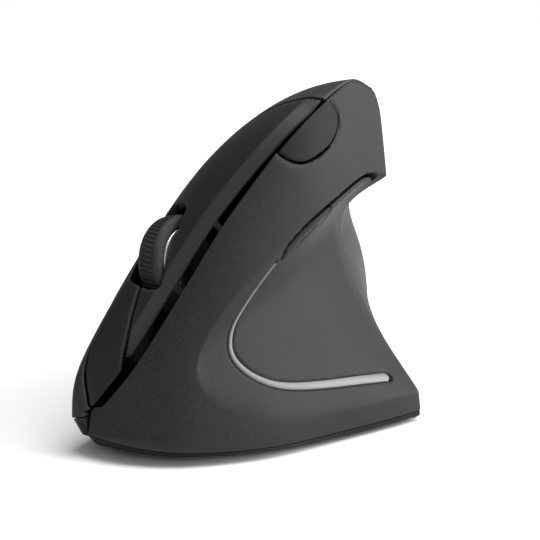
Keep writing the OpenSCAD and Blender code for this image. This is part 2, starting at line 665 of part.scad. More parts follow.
// Tilted switch board and what stands on it, in the wheel's frame
deck_top = -deck_depth;
yoke_side = wheel_w / 2 + .8;
yoke_bar = 1.5;
yoke_lift = 2.9;
yoke_low = deck_top + yoke_lift;
yoke_t = 2.5;
eye_r = axle_r + 1.1;
yoke_end = -wheel_r - 1;
guide_x = yoke_side + yoke_bar + joint_gap;
guide = [1.5, 8, deck_depth - 11];
left_switch_at = [-8.8, -10.8];
right_switch_at = [7.2, 17];
micro = [5.8, 12.8, 6.5];

// The tyre dips through a slot in the board
tyre_dip = deck_depth + axle_z;
deck_slot = sqrt(max(1, wheel_r * wheel_r - tyre_dip * tyre_dip)) + 1.15;

module switch_pcb() {
    color(board_green) to_frame(wheel_frame) translate([0, 0, deck_top - pcb_t]) difference() {
        linear_extrude(pcb_t) polygon([[-12, -19.5], [4, -19.5], [9, -8], [11, 6], [11, 24.5],
            [2, 24.5], [-4, 16], [-12, 0]]);
        translate([-yoke_side, -deck_slot, -1]) cube([2 * yoke_side, 2 * deck_slot, pcb_t + 2]);
    }
}
module microswitch(at) {
    color(switch_grey) to_frame(wheel_frame) translate([at[0], at[1], deck_top]) difference() {
        translate([-micro[0] / 2, -micro[1] / 2, 0]) cube(micro);
        translate([0, 2, micro[2] - 2.5]) cylinder(h = 4, r = plunger_r + plunger_fit);
    }
}
module left_microswitch() microswitch(left_switch_at);
module right_microswitch() microswitch(right_switch_at);
module blade_plunger(at, u, v) {
    from = deck_top + micro[2] - 1.2;
    to = lowest(right_face, wheel_frame, [at[0], at[1] + 2], plunger_r, u, v) - 1.2 * wall - .15;
    color(ivory) to_frame(wheel_frame) translate([at[0], at[1] + 2, from])
        cylinder(h = to - from, r = plunger_r);
}
module left_plunger() blade_plunger(left_switch_at, .5, .2);
module right_plunger() blade_plunger(right_switch_at, .28, .3);

module wheel_guides() {
    color(deep_black) to_frame(wheel_frame) for (x = [-guide_x - guide[0], guide_x])
        translate([x, -guide[1] / 2, deck_top]) cube(guide);
}
module wheel_yoke() {
    color(steel) to_frame(wheel_frame) difference() {
        union() for (s = [-1, 1]) translate([s * (yoke_side + yoke_bar / 2), 0, 0]) {
            translate([-yoke_bar / 2, 0, axle_z]) rotate([0, 90, 0]) cylinder(h = yoke_bar, r = eye_r);
            translate([-yoke_bar / 2, -eye_r, yoke_low]) cube([yoke_bar, 2 * eye_r, axle_z - yoke_low]);
            translate([-yoke_bar / 2, yoke_end - yoke_bar, yoke_low])
                cube([yoke_bar, -yoke_end + yoke_bar + 3, yoke_t]);
            translate([-yoke_bar / 2 - (s > 0 ? yoke_side + yoke_bar : 0), yoke_end - yoke_bar, yoke_low])
                cube([yoke_side + 2 * yoke_bar, yoke_bar, yoke_t]);
        }
        translate([-20, 0, axle_z]) rotate([0, 90, 0]) cylinder(h = 40, r = axle_r + axle_fit);
    }
}
module wheel_encoder() {
    color(switch_grey) to_frame(wheel_frame) translate([-2.5, deck_slot + 1.6, deck_top]) cube([5, 4, 1.3]);
}
module on_axle() to_frame(wheel_frame) translate([0, 0, axle_z]) rotate([0, 90, 0]) children();
module wheel_axle() {
    color(steel) on_axle() cylinder(h = 2 * (yoke_side + yoke_bar), r = axle_r, center = true);
}
hub_w = wheel_w - 1.6;
module wheel_hub() {
    color(deep_black) on_axle() difference() {
        cylinder(h = hub_w, r = hub_r, center = true);
        cylinder(h = hub_w + 2, r = axle_r, center = true);
    }
}
module wheel_tyre() {
    ribbed = wheel_w - 2.2;
    shoulder = (wheel_w - ribbed) / 2;
    outline = [for (i = [0:rib_count * 2 - 1]) let (a = 180 / rib_count * (i + .25 * (i % 2)))
        (wheel_r - (i % 2) * rib_depth) * [cos(a), sin(a)]];
    color("#1a1a1c") on_axle() difference() {
        union() {
            translate([0, 0, -ribbed / 2]) linear_extrude(ribbed) polygon(outline);
            for (s = [0, 1]) mirror([0, 0, s]) translate([0, 0, ribbed / 2])
                cylinder(h = shoulder, r1 = wheel_r - rib_depth - .15, r2 = wheel_r - 1.2);
        }
        cylinder(h = wheel_w + 2, r = hub_r, center = true);
    }
}
module wheel_caps() {
    color(silver) on_axle() for (s = [0, 1]) mirror([0, 0, s]) translate([0, 0, hub_w / 2]) difference() {
        cylinder(h = .7, r1 = hub_r - .4, r2 = hub_r - 1.1);
        translate([0, 0, -1]) cylinder(h = 3, r = axle_r);
    }
}
click_at = [0, yoke_end - yoke_bar / 2];
module wheel_switch() {
    color(switch_grey) to_frame(wheel_frame) translate([click_at[0], click_at[1], deck_top]) difference() {
        translate([-2.2, -2.2, 0]) cube([4.4, 4.4, 2]);
        translate([0, 0, .4]) cylinder(h = 4, r = plunger_r + plunger_fit);
    }
}
module wheel_plunger() {
    to = yoke_low;
    from = deck_top + 1.2;
    color(ivory) to_frame(wheel_frame) translate([click_at[0], click_at[1], from])
        cylinder(h = to - from, r = plunger_r);
}

// Small boards behind the side buttons and the top button
module tact_body() {
    difference() {
        translate([-tact[0] / 2, -tact[1] / 2, 0]) cube(tact);
        translate([0, 0, tact[2] - 2]) cylinder(h = 4, r = plunger_r + plunger_fit);
    }
}
module face_plunger(frame, at, board_z, u, v) {
    from = board_z + tact[2] - 1.1;
    to = lowest(left_face, frame, at, plunger_r, u, v) - 1.1 * wall - .1;
    color(ivory) to_frame(frame) translate([at[0], at[1], from]) cylinder(h = to - from, r = plunger_r);
}
module board(frame, at, z) {
    color(board_green) to_frame(frame) translate([at[0][0], at[0][1], z - pcb_t])
        cube([at[1][0], at[1][1], pcb_t]);
}
module side_pcb() board(side_frame, side_board, side_board_z);
module side_switches() {
    color(switch_grey) to_frame(side_frame) for (p = SIDE_SWITCHES)
        translate([p[0], p[1], side_board_z]) tact_body();
}
module forward_plunger() face_plunger(side_frame, SIDE_SWITCHES[0], side_board_z, .66, side_mid);
module back_plunger() face_plunger(side_frame, SIDE_SWITCHES[1], side_board_z, .81, side_mid);
module dpi_pcb() board(dpi_frame, dpi_board, dpi_board_z);
module dpi_switch() {
    color(switch_grey) to_frame(dpi_frame)
        translate([dpi_switch_at[0], dpi_switch_at[1], dpi_board_z]) tact_body();
}
module dpi_plunger() face_plunger(dpi_frame, dpi_switch_at, dpi_board_z, .69, .08);

left_shell();
palm_shell();
left_button();
right_button();
dpi_button();
forward_button();
back_button();
thumb_strip();
ridge_spine();
base_plate();
feet();
base_screws();
battery_door();
battery_holder();
battery();
battery_contacts();
main_pcb();
sensor();
sensor_lens();
power_switch();
power_slider();
inner_frame();
switch_pcb();
left_microswitch();
right_microswitch();
left_plunger();
right_plunger();
wheel_guides();
wheel_yoke();
wheel_encoder();
wheel_axle();
wheel_hub();
wheel_tyre();
wheel_caps();
wheel_switch();
wheel_plunger();
side_pcb();
side_switches();
forward_plunger();
back_plunger();
dpi_pcb();
dpi_switch();
dpi_plunger();
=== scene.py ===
# %% [markdown]
# A vertical mouse stands upright on the desk. It has a scoop for the thumb on its left, two long blades,
# which are its main buttons, on its right, and a rounded back for the palm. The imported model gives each
# piece its real place and size. This lesson gives those pieces their moulded surfaces and their
# finishes. Each cell uses what the cells before it made, so it is read and run from top to bottom.

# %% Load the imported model
import json
import math

import bpy
import numpy as np
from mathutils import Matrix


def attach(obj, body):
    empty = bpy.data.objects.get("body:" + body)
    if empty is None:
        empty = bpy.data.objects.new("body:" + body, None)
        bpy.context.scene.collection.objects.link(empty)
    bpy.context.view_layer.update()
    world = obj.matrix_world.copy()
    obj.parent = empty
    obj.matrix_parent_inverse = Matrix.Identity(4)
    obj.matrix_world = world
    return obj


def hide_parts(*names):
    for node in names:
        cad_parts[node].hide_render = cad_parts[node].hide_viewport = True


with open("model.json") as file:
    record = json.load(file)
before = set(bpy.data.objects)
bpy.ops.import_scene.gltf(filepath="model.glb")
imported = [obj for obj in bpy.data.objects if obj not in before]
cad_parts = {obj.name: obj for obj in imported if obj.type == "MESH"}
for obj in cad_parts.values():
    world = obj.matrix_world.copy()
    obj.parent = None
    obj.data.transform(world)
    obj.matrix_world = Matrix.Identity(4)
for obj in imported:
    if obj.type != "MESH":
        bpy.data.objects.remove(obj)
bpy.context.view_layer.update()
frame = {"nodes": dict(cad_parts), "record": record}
MM = 0.001

# %% [markdown]
# The camera comes first, because every later choice is judged through it. The picture is taken with
# a long lens from the front left, a little above the desk. A long lens keeps upright edges upright.
# A constraint could aim it, but two angles and a distance are plainer and can be judged by eye.

# %% Camera
AIM = np.array([0, 18.5, 36]) * MM
AZIMUTH, ELEVATION, DISTANCE = math.radians(205), math.radians(15), 0.6
LENS = 176


def place_camera():
    """The camera stands at AIM plus DISTANCE along the direction of azimuth and elevation."""
    level = math.cos(ELEVATION)
    away = np.array([math.sin(AZIMUTH) * level, -math.cos(AZIMUTH) * level, math.sin(ELEVATION)])
    lens = bpy.data.cameras.new("camera")
    lens.lens = LENS
    lens.sensor_width = 36
    camera = bpy.data.objects.new("camera", lens)
    camera.location = AIM + DISTANCE * away
    camera.rotation_euler = (math.pi / 2 - ELEVATION, 0, AZIMUTH)
    bpy.context.scene.collection.objects.link(camera)
    bpy.context.scene.camera = camera
    return camera


camera = place_camera()
print("camera at", [round(x, 3) for x in camera.location])

# %% [markdown]
# The body is drawn from three guide curves, as a modeller draws it: the ridge that runs from the nose
# up to the fin, the foot line of the thumb side and the base line that goes round the heel. Each is
# a smooth curve through a few points, given as shares of the width, the length and the height. Curves
# drawn by hand would do as well, but a formula can be asked for any point on the way.

# %% Guide curves
WIDTH, LENGTH, HEIGHT = 63.0, 120.0, 75.0
SKIRT = 2.6
WALL = 2.0
MITRE = 1.15 * WALL
FIN_CROWN, CROWN_FROM, CROWN_RUN = .6, .72, .28
RIDGE = [(.413, .471, .133), (.31, .408, .28), (.19, .321, .487), (.071, .213, .707),
         (-.048, .079, .907), (-.111, -.079, .998), (-.167, -.154, .962)]
FOOT = [(.405, .492, .036), (.222, .494, .02), (.032, .464, .01), (-.19, .356, .003),
        (-.37, .18, 0), (-.455, .088, 0), (-.5, .029, 0)]
BASE = [(.43, .484, .088), (.491, .468, .07), (.499, .371, .023), (.499, .238, .003),
        (.499, .088, 0), (.499, -.079, 0), (.476, -.263, 0), (.413, -.404, 0), (.286, -.487, 0),
        (.143, -.487, 0), (.032, -.371, 0), (-.143, -.196, 0), (-.5, .029, 0)]


def curve(points, t):
    """Smooth curve through all points, with a cubic for each stretch.

    Its slope at a point is half the step from the point before to the point after."""
    p = np.asarray(points, float)
    p = np.vstack([2 * p[0] - p[1], p, 2 * p[-1] - p[-2]])
    x = np.asarray(t, float) * (len(p) - 3)
    i = np.clip(np.floor(x), 0, len(p) - 4).astype(int)
    f = (x - i)[..., None]
    a, b, c, d = p[i], p[i + 1], p[i + 2], p[i + 3]
    return (2 * b + (c - a) * f + (2 * a - 5 * b + 4 * c - d) * f**2 + (3 * b - a - 3 * c + d) * f**3) / 2


def ease(x):
    """Smooth step from 0 to 1."""
    t = np.clip(x, 0, 1)
    return t * t * (3 - 2 * t)


def on_ridge(t):
    """Ridge point in millimetres: shares times width, length and height, with a little crown at the fin."""
    crown = FIN_CROWN * np.sin(np.pi * np.clip((np.asarray(t) - CROWN_FROM) / CROWN_RUN, 0, 1))**2
    return curve(RIDGE, t) * (WIDTH, LENGTH, HEIGHT) + crown[..., None] * (0, 0, 1)


def on_skirt(points, t):
    """Point of a lower line: its height share counts from the top of the base rim."""
    return curve(points, t) * (WIDTH, LENGTH, HEIGHT - SKIRT) + (0, 0, SKIRT)


print("ridge runs", np.round(on_ridge(0.0), 1), "to", np.round(on_ridge(1.0), 1))

# %% [markdown]
# The thumb face is a sheet stretched from the ridge to the foot line, bowed out a little, with the
# thumb scoop pressed into it. On the real mouse it is one side of the mould. It could be sculpted, or
# drawn with a subdivided cage. Here it is a function of two parameters, u along the ridge and v down
# the face, so that every seam, button and inlay can be placed on it by numbers.

# %% The thumb face
FACE_BULGE, BULGE_FROM, BULGE_RUN, ROW_SWEEP = 3.0, -.02, .12, .05
FIN_CORNER, CORNER_FROM, CORNER_RUN, CORNER_DOWN = .024, .85, .15, .08
SCOOP_DEPTH, SCOOP_START, SCOOP_MID, SCOOP_UP, SCOOP_DOWN = 21.0, .36, .51, .235, .43
INWARD_TURN = math.radians(28)
INWARD = np.array([math.cos(INWARD_TURN), -math.sin(INWARD_TURN), 0])


def scoop(u, v):
    """Depth of the scoop: deepest on its middle line, and fading on an oval that opens to the rear."""
    s = np.clip((u - SCOOP_START) / (1 - SCOOP_START), 0, 1)
    above = v < SCOOP_MID
    reach = np.where(above, SCOOP_UP * np.sqrt(1 - (1 - s)**10), SCOOP_DOWN * np.sqrt(1 - (1 - s)**5.5))
    t = np.minimum(1, np.abs(v - SCOOP_MID) / np.maximum(reach, 1e-6))
    return SCOOP_DEPTH * s**.9 * (1 - t * t)**(1.9 - np.where(above, .7, .8) * s)


def thumb_face(u, v):
    """Straight blend from ridge to foot line, moved along INWARD by the scoop less the bow.

    Near the fin's rear corner the rows are drawn forward, which rounds it."""
    u, v = np.broadcast_arrays(np.asarray(u, float), np.asarray(v, float))
    corner = FIN_CORNER * ease((u - CORNER_FROM) / CORNER_RUN) * np.clip(1 - v / CORNER_DOWN, 0, 1)**2
    along = u * (1 - ROW_SWEEP * np.sin(np.pi * v)) - corner
    bow = FACE_BULGE * ease((u - BULGE_FROM) / BULGE_RUN) * (1 - (2 * v - 1)**6) * (1 - .5 * u * u)
    sheet = on_ridge(along) * (1 - v)[..., None] + on_skirt(FOOT, along) * v[..., None]
    return sheet - (bow - scoop(u, v))[..., None] * INWARD


print("fin at", np.round(thumb_face(1.0, 0.0), 1), "wing at", np.round(thumb_face(1.0, 1.0), 1))

# %% [markdown]
# The finger and palm face is the other side: one cubic arc per section, from the ridge over a knee
# down to the base line. A cubic has just enough freedom for a flat top, a knee and a steep side. Past
# the end of the ridge the arcs start on the fin's rear edge instead, so one face goes from the nose
# round the heel to the wing. The blades stand up a little from the ridge.

# %% The finger face
BEVEL_RISE, BEVEL_WIDTH, BEVEL_SPAN, BEVEL_FADE = 1.2, 3.0, (.1, .85), (.1, .12)
BEVEL_WAY = np.array([.5, .2, .84]) / np.linalg.norm([.5, .2, .84])
# Shares of the run or the rise: at the nose, and the change towards the heel
KNEE_OUT, KNEE_UP, SIDE_UP = (.95, -.47), (.02, -.08), (.95, -.25)


def bevel_height(u, v, run):
    """The blades rise from the ridge over the bevel's width, and the rise fades down the side."""
    starts = np.clip((u - BEVEL_SPAN[0]) / BEVEL_FADE[0], 0, 1)
    on_blades = starts * np.clip((BEVEL_SPAN[1] - u) / BEVEL_FADE[1], 0, 1)
    return BEVEL_RISE * on_blades * np.clip(1.6 * v * run / BEVEL_WIDTH, 0, 1) * (1 - v)**2


def finger_face(u, v):
    """Cubic arc from the ridge, or past u = 1 from the fin's rear edge, over a knee to the base line."""
    u, v = np.broadcast_arrays(np.asarray(u, float), np.asarray(v, float))
    top = np.where((u <= 1)[..., None], thumb_face(np.minimum(u, 1.0), 0 * u),
                   thumb_face(1 + 0 * u, np.maximum(u - 1, 0)))
    foot = on_skirt(BASE, u / 2)
    k = np.clip(u, 0, 1)[..., None]
    rise = (top - foot)[..., 2:] * (0, 0, 1)
    run = (foot - top) * (1, 1, 0)
    knee = top + (KNEE_OUT[0] + KNEE_OUT[1] * k) * run + (KNEE_UP[0] + KNEE_UP[1] * k) * rise
    side = foot + (SIDE_UP[0] + SIDE_UP[1] * k) * rise
    bevel = bevel_height(u, v, np.linalg.norm(run, axis=-1))
    w = v[..., None]
    arc = (1 - w)**3 * top + 3 * w * (1 - w)**2 * knee + 3 * w * w * (1 - w) * side + w**3 * foot
    return arc + bevel[..., None] * BEVEL_WAY


def slopes(face, u, v, reach=.004):
    """Millimetres per unit of u and of v at each place, as two vectors."""
    du = (face(u + reach, v) - face(u - reach, v)) / (2 * reach)
    dv = (face(u, v + reach) - face(u, v - reach)) / (2 * reach)
    return du, dv


def outward(face, turn, u, v, reach=.004):
    """Unit normal: the cross product of both slopes, turned to the outside."""
    du, dv = slopes(face, u, v, reach)
    n = turn * np.cross(du, dv)
    return n / np.linalg.norm(n, axis=-1, keepdims=True)


def across_scale(face, u, v):
    """Millimetres across a face per unit of v, square to its lines of u."""
    du, dv = slopes(face, u, v, .01)
    return np.linalg.norm(np.cross(du, dv), axis=-1) / np.linalg.norm(du, axis=-1)


print("heel at", np.round(finger_face(1.5, .5), 1))

# %% [markdown]
# A moulded shell is a wall with rounded edges: light catches the rounding, and that is what makes a
# seam look real. Solidify and Bevel could give both, but bevels overlap in narrow corners. Here a wall
# is two copies of one grid, the outer one lowered near its edges along a quarter circle and the inner
# one set in by the wall. The open edges of both are then joined.

# %% Walls from grids
def grid_quads(rows, columns, turn):
    """Four-sided faces of a grid of rows by columns, facing outwards for that turn."""
    i = np.arange(rows * columns).reshape(rows, columns)
    quads = np.stack([i[:-1, :-1], i[1:, :-1], i[1:, 1:], i[:-1, 1:]], -1).reshape(-1, 4)
    return quads if turn > 0 else quads[:, ::-1]


def border_edges(quads, count):
    """Directed edges of the faces that no other face shares."""
    a = quads.ravel()
    b = np.roll(quads, -1, 1).ravel()
    lone = ~np.isin(a * count + b, b * count + a)
    return a[lone], b[lone]


def closed_wall(outer, inner, quads):
    """Outer faces, inner faces turned round, and a rim between their open edges; unused points go."""
    n = len(outer)
    a, b = border_edges(quads, n)
    rim = np.stack([b, a, a + n, b + n], -1)
    faces = np.vstack([quads, quads[:, ::-1] + n, rim])
    used, compact = np.unique(faces, return_inverse=True)
    return np.vstack([outer, inner])[used], compact.reshape(-1, 4), used


def nearest(points, rim):
    """Distance of each point to the nearest point of a list, and that point's number."""
    far = np.empty(len(points))
    which = np.empty(len(points), int)
    for start in range(0, len(points), 2000):
        part = slice(start, start + 2000)
        d = np.linalg.norm(points[part, None] - rim[None], axis=-1)
        which[part] = d.argmin(1)
        far[part] = d.min(1)
    return far, which


def rounding(distance, radius):
    """Depth of a quarter circle of that radius, at a distance from the edge."""
    x = np.clip(radius - distance, 0, radius)
    return radius - np.sqrt(radius**2 - x**2)


def edge_marks(distance, used, width=1.2):
    """For the finish: 1 at an edge, 0 from one width away, and -1 on the inner side of the wall."""
    return np.concatenate([np.clip(1 - distance / width, 0, 1)**2, np.full(len(distance), -1.0)])[used]


print("walls ready, from grids such as", grid_quads(3, 3, 1).shape)

# %% [markdown]
# Each piece becomes a mesh that carries two things for its finish: a number that marks wear at edges,
# the painted highlight of a bevel and the painted shade inside walls and cut marks, and a map for
# streaks. It then takes the place of a solid of the imported model and rides on the same body, so that
# the joints move it.

# %% Pieces on bodies
def new_piece(name, points, faces, edge=None, uv=None, sharp=40):
    """Mesh from points in millimetres; edges sharper than the angle stay crisp."""
    mesh = bpy.data.meshes.new(name)
    rings = faces if isinstance(faces, list) else faces.tolist()
    mesh.from_pydata((np.asarray(points) * MM).tolist(), [], rings)
    mesh.shade_smooth()
    mesh.set_sharp_from_angle(angle=math.radians(sharp))
    if edge is not None:
        marks = mesh.attributes.new("edge", "FLOAT", "POINT")
        marks.data.foreach_set("value", np.asarray(edge, np.float32))
    if uv is not None:
        corner = np.empty(len(mesh.loops), int)
        mesh.loops.foreach_get("vertex_index", corner)
        mesh.uv_layers.new(name="UVMap").data.foreach_set("uv", uv[corner].astype(np.float32).ravel())
    piece = bpy.data.objects.new(name, mesh)
    bpy.context.scene.collection.objects.link(piece)
    print(name, len(mesh.polygons), "faces")
    return piece


def stand_for(piece, node, finish):
    """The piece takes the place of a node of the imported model, on that node's body."""
    piece.data.materials.append(finish)
    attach(piece, next(body for body, nodes in BODIES.items() if node in nodes))
    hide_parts(node)


BODIES = frame["record"]["behaviour"]["bodies"]
AXES = {joint["name"]: joint["axis"] for joint in frame["record"]["behaviour"]["joints"]}

# %% [markdown]
# Finishes are written as maths on sockets. The node editor could do the same by hand, but a line of
# maths is easier to read and to change. A small class wraps a socket so that plus, minus and times add
# Math nodes, and one method makes any other node from its type, its settings and its sockets.

# %% Shader maths
class Wire:
    """A number that varies over the surface: a socket that can be added, taken off and multiplied."""

    def __init__(self, board, socket):
        self.board, self.socket = board, socket

    def math(self, operation, first, second, clamp=False):
        """Math node of two values or Wires."""
        settings = {"operation": operation, "use_clamp": clamp}
        return self.board.node("ShaderNodeMath", settings, {0: first, 1: second})

    def __add__(self, other):
        return self.math("ADD", self, other)

    def __sub__(self, other):
        return self.math("SUBTRACT", self, other)

    def __rsub__(self, other):
        return self.math("SUBTRACT", other, self)

    def __mul__(self, other):
        return self.math("MULTIPLY", self, other)

    def share(self):
        """The same number kept between 0 and 1."""
        return self.math("ADD", self, 0.0, clamp=True)

    __radd__, __rmul__ = __add__, __mul__


class Board:
    """A node tree to which nodes are added."""

    def __init__(self, tree):
        self.tree = tree

    def node(self, kind, settings, sockets, output=0):
        """Adds a node: its settings first, then a value or a link for each named socket."""
        made = self.tree.nodes.new(kind)
        for name, value in settings.items():
            if name == "stops":
                for stop, (at, shade) in zip(made.color_ramp.elements, value):
                    stop.position, stop.color = at, (shade, shade, shade, 1)
            else:
                setattr(made, name, value)
        for name, value in sockets.items():
            self.feed(made.inputs[name], value)
        return Wire(self, made.outputs[output])

    def feed(self, socket, value):
        """Links a Wire to a socket, or sets the socket's own value."""
        if isinstance(value, Wire):
            self.tree.links.new(value.socket, socket)
        else:
            socket.default_value = value


print("shader maths ready")

# %% [markdown]
# A finish is a material with one shader for plastics and metals. Constants are set on its sockets, and
# whatever changes over the surface is linked to them. The kinds of detail that several finishes share,
# such as noise, a ramp or a bump, are short methods.

# %% A finish
class Finish(Board):
    """A material with one Principled shader, and the nodes that feed it."""

    def __init__(self, name, **sockets):
        self.material = bpy.data.materials.new(name)
        self.material.use_nodes = True
        super().__init__(self.material.node_tree)
        self.shader = self.tree.nodes["Principled BSDF"]
        self.place = self.node("ShaderNodeTexCoord", {}, {}, "Object")
        self.set(**sockets)

    def set(self, **sockets):
        """Sockets of the shader by name, with _ for a space."""
        for name, value in sockets.items():
            self.feed(self.shader.inputs[name.replace("_", " ")], value)

    def noise(self, scale, detail=2.0, place=None):
        """Noise from 0 to 1 with that many waves per metre."""
        sockets = {"Vector": place or self.place, "Scale": scale, "Detail": detail}
        return self.node("ShaderNodeTexNoise", {}, sockets)

    def steps(self, value, low, high):
        """0 below low, 1 above high."""
        stops = [(low, 0.0), (high, 1.0)]
        return self.node("ShaderNodeValToRGB", {"stops": stops}, {"Fac": value})

    def attribute(self, name):
        """A number that is kept on the mesh."""
        return self.node("ShaderNodeAttribute", {"attribute_name": name}, {}, "Fac")

    def mix(self, amount, first, second):
        """Colour between two colours."""
        sockets = {"Factor": amount, 6: first, 7: second}
        return self.node("ShaderNodeMix", {"data_type": "RGBA"}, sockets, 2)

    def bump(self, height, strength, depth):
        """Normal from a height; depth is the height of 1, in metres."""
        sockets = {"Height": height, "Strength": strength, "Distance": depth}
        return self.node("ShaderNodeBump", {}, sockets)


def grey(level, tint=0.0):
    """A grey colour, a little blue where the tint is above 0."""
    return (level, level, level * (1 + tint), 1)


print("a grey of .5 is", grey(.5))

# %% [markdown]
# The shells have a soft-touch paint: nearly black, quite matt, with a fine even grain, and a little
# smoother at edges, where use wears it. Two scales of noise make the grain. The number kept on the
# mesh lightens the edges as wear and the left blade's bevel as a painted highlight. It also makes the
# inside of walls, the inlay's groove and the cut marks near black as painted shade. A picture of paint
# could be wrapped round, but noise has no seams.

# %% Soft black paint
GRAIN, MOTTLE = 2600, 70


def soft_black(name, level, rough):
    """Colour of that level, mottled by noise, paler at edges from wear and on the bevel as a painted
    highlight; the inside of a wall, the groove and the cut marks are painted shade, near black.
    """
    f = Finish(name, IOR=1.45, Specular_IOR_Level=.3, Sheen_Weight=.03, Sheen_Roughness=.5)
    grain = f.noise(GRAIN, 2.0)
    edge = f.attribute("edge")
    wear_and_highlight, painted_shade = edge.share(), (0 - edge).share()
    shade = f.noise(MOTTLE, 3.0) * .35 + f.steps(grain, .3, .7) * .5
    painted = f.mix(shade, grey(.4 * level), grey(1.8 * level))
    # Paler where edges wear, and on the left blade's bevel as a painted highlight.
    made_paler = f.mix(wear_and_highlight * .5, painted, grey(.036))
    # Near black inside walls, in the inlay's groove and in the cut marks: painted shade.
    f.set(Base_Color=f.mix(painted_shade, made_paler, grey(.0015)))
    f.set(Roughness=rough - .1 * wear_and_highlight + .2 * (grain - .5) + .3 * painted_shade)
    f.set(Normal=f.bump(grain, .3, .00006))
    return f.material


# The blades and the ridge key, and the side keys, take darker copies of the same paint: painted shade,
# since on the mouse it is all one paint.
paint = soft_black("soft_black_paint", .017, .6)
shaded_blade_paint = soft_black("shaded_blade_paint", .004, .64)
shaded_side_paint = soft_black("shaded_side_key_paint", .006, .62)
print("soft black finishes made")

# %% [markdown]
# The rest that shows is plain black plastic on the base, rubber on the wheel, and silver paint on the
# inlay and on the wheel's caps. The silver has fine streaks along the piece, as a brush leaves them,
# so it reads the piece's own map. The plastic has the fine pits of a spark-eroded mould.

# %% Plastic, rubber and silver
def black_plastic(name, level, rough):
    """Fine spark-eroded texture on plain black plastic."""
    f = Finish(name, IOR=1.5, Specular_IOR_Level=.2)
    pits = f.noise(2200, 3.0)
    f.set(Base_Color=f.mix(pits, grey(.7 * level), grey(1.35 * level)))
    f.set(Roughness=rough + .15 * (pits - .5), Normal=f.bump(pits, .18, .00008))
    return f.material


def rubber():
    """Dusty black rubber: rough, with a paler bloom in patches."""
    f = Finish("tyre_rubber", IOR=1.5)
    bloom = f.noise(500, 4.0)
    f.set(Base_Color=f.mix(f.steps(bloom, .35, .75), grey(.006), grey(.018)))
    f.set(Roughness=.6 + .25 * bloom, Normal=f.bump(f.noise(5000), .2, .00005))
    return f.material


def brushed_silver(name, level, rough, stretch, metal):
    """Silver paint with streaks: noise on the piece's own map, stretched along it."""
    f = Finish(name, IOR=1.5, Coat_Roughness=.3)
    along = f.node("ShaderNodeUVMap", {"uv_map": "UVMap"}, {})
    scaled = f.node("ShaderNodeMapping", {}, {"Vector": along, "Scale": stretch})
    streak = f.noise(1.0, 3.0, scaled)
    f.set(Base_Color=f.mix(streak, grey(.8 * level, .02), grey(1.15 * level, .02)))
    f.set(Metallic=metal + .2 * (streak - .5), Roughness=rough + .14 * (streak - .5))
    f.set(Coat_Weight=.05 + .1 * streak)
    f.set(Normal=f.bump(streak, .12, .00003))
    return f.material


base_plastic = black_plastic("base_plastic", .006, .42)
inner_plastic = black_plastic("inner_plastic", .004, .65)
strip_silver = brushed_silver("strip_silver", .17, .5, (18, 420, 1), .45)
cap_silver = brushed_silver("cap_silver", .5, .28, (6, 160, 1), .85)
tyre_rubber = rubber()
print("finishes", len(bpy.data.materials))

# %% [markdown]
# What lies inside is seen only through seams and the open battery bay: steel pins, circuit boards,
# switches and the cell. Each still has a finish of its own, because pieces may be used apart. What
# lies close below a seam is painted black, as painted shade, so that the seam stays a dark line.

# %% Steel, boards and small parts
def turned_steel(name, level, rough):
    """Drawn metal: fine noise in the roughness."""
    f = Finish(name, Metallic=1.0)
    marks = f.noise(1500, 4.0)
    f.set(Base_Color=f.mix(marks, grey(.85 * level), grey(1.1 * level)))
    f.set(Roughness=rough + .2 * (marks - .5))
    return f.material


def circuit_board():
    """Near-black board over a grid of copper runs: painted shade, so that no board shows through a seam."""
    f = Finish("black_board", IOR=1.5, Roughness=.35)
    sockets = {"Vector": f.place, "Scale": 420}
    runs = f.node("ShaderNodeTexVoronoi", {"distance": "MANHATTAN"}, sockets, "Distance")
    f.set(Base_Color=f.mix(f.steps(runs, .25, .4), grey(.002), grey(.005)))
    f.set(Normal=f.bump(runs, .2, .00004))
    return f.material


def mottled(name, dark, pale, rough, waves=900):
    """Two near colours mixed by noise, for small moulded parts."""
    f = Finish(name, IOR=1.5)
    spots = f.noise(waves, 3.0)
    f.set(Base_Color=f.mix(spots, dark, pale), Roughness=rough + .12 * (spots - .5))
    f.set(Normal=f.bump(spots, .1, .00004))
    return f.material


NODE_FINISHES = {
    "inner_black": inner_plastic,
    "silver": turned_steel("slider_silver", .6, .35),
    "steel": turned_steel("steel", .55, .3),
    "board": circuit_board(),
    "switch_grey": mottled("switch_grey", grey(.03), grey(.06), .45),
    "plunger_ivory": mottled("plunger_ivory", (.16, .15, .12, 1), (.2, .185, .15, 1), .5),
    "foot_grey": mottled("foot_grey", grey(.035), grey(.06), .32, 2000),
    "cell": mottled("cell_jacket", (.08, .085, .1, 1), (.1, .11, .125, 1), .3),
    "lens": mottled("lens", (.3, .38, .46, 1), (.36, .44, .52, 1), .12),
    "soft_black": paint,
    "tyre_rubber": tyre_rubber,
}
# The yoke, axle, ridge key's switch and plunger and the side switches show through seams, so they are
# painted dark as painted shade; the base screws share that dark steel.
dark_steel = turned_steel("steel_painted_dark", .06, .5)
OWN_FINISHES = {"base_plate": base_plastic, "battery_door": base_plastic, "dpi_switch": inner_plastic,
                "wheel_yoke": dark_steel, "wheel_axle": dark_steel, "base_screws": dark_steel,
                "dpi_plunger": inner_plastic, "side_switches": inner_plastic}
print("finishes", len(bpy.data.materials))

# %% [markdown]
# A wide dark seam runs along the ridge between the thumb shell and the left blade, so that the blade
# can move. Near the nose it is taken from the thumb face and higher up from the finger face. Behind
# the blades the two shells meet, and only a fine seam is left. Nothing is cut for it: each wall starts
# that far from the ridge line.

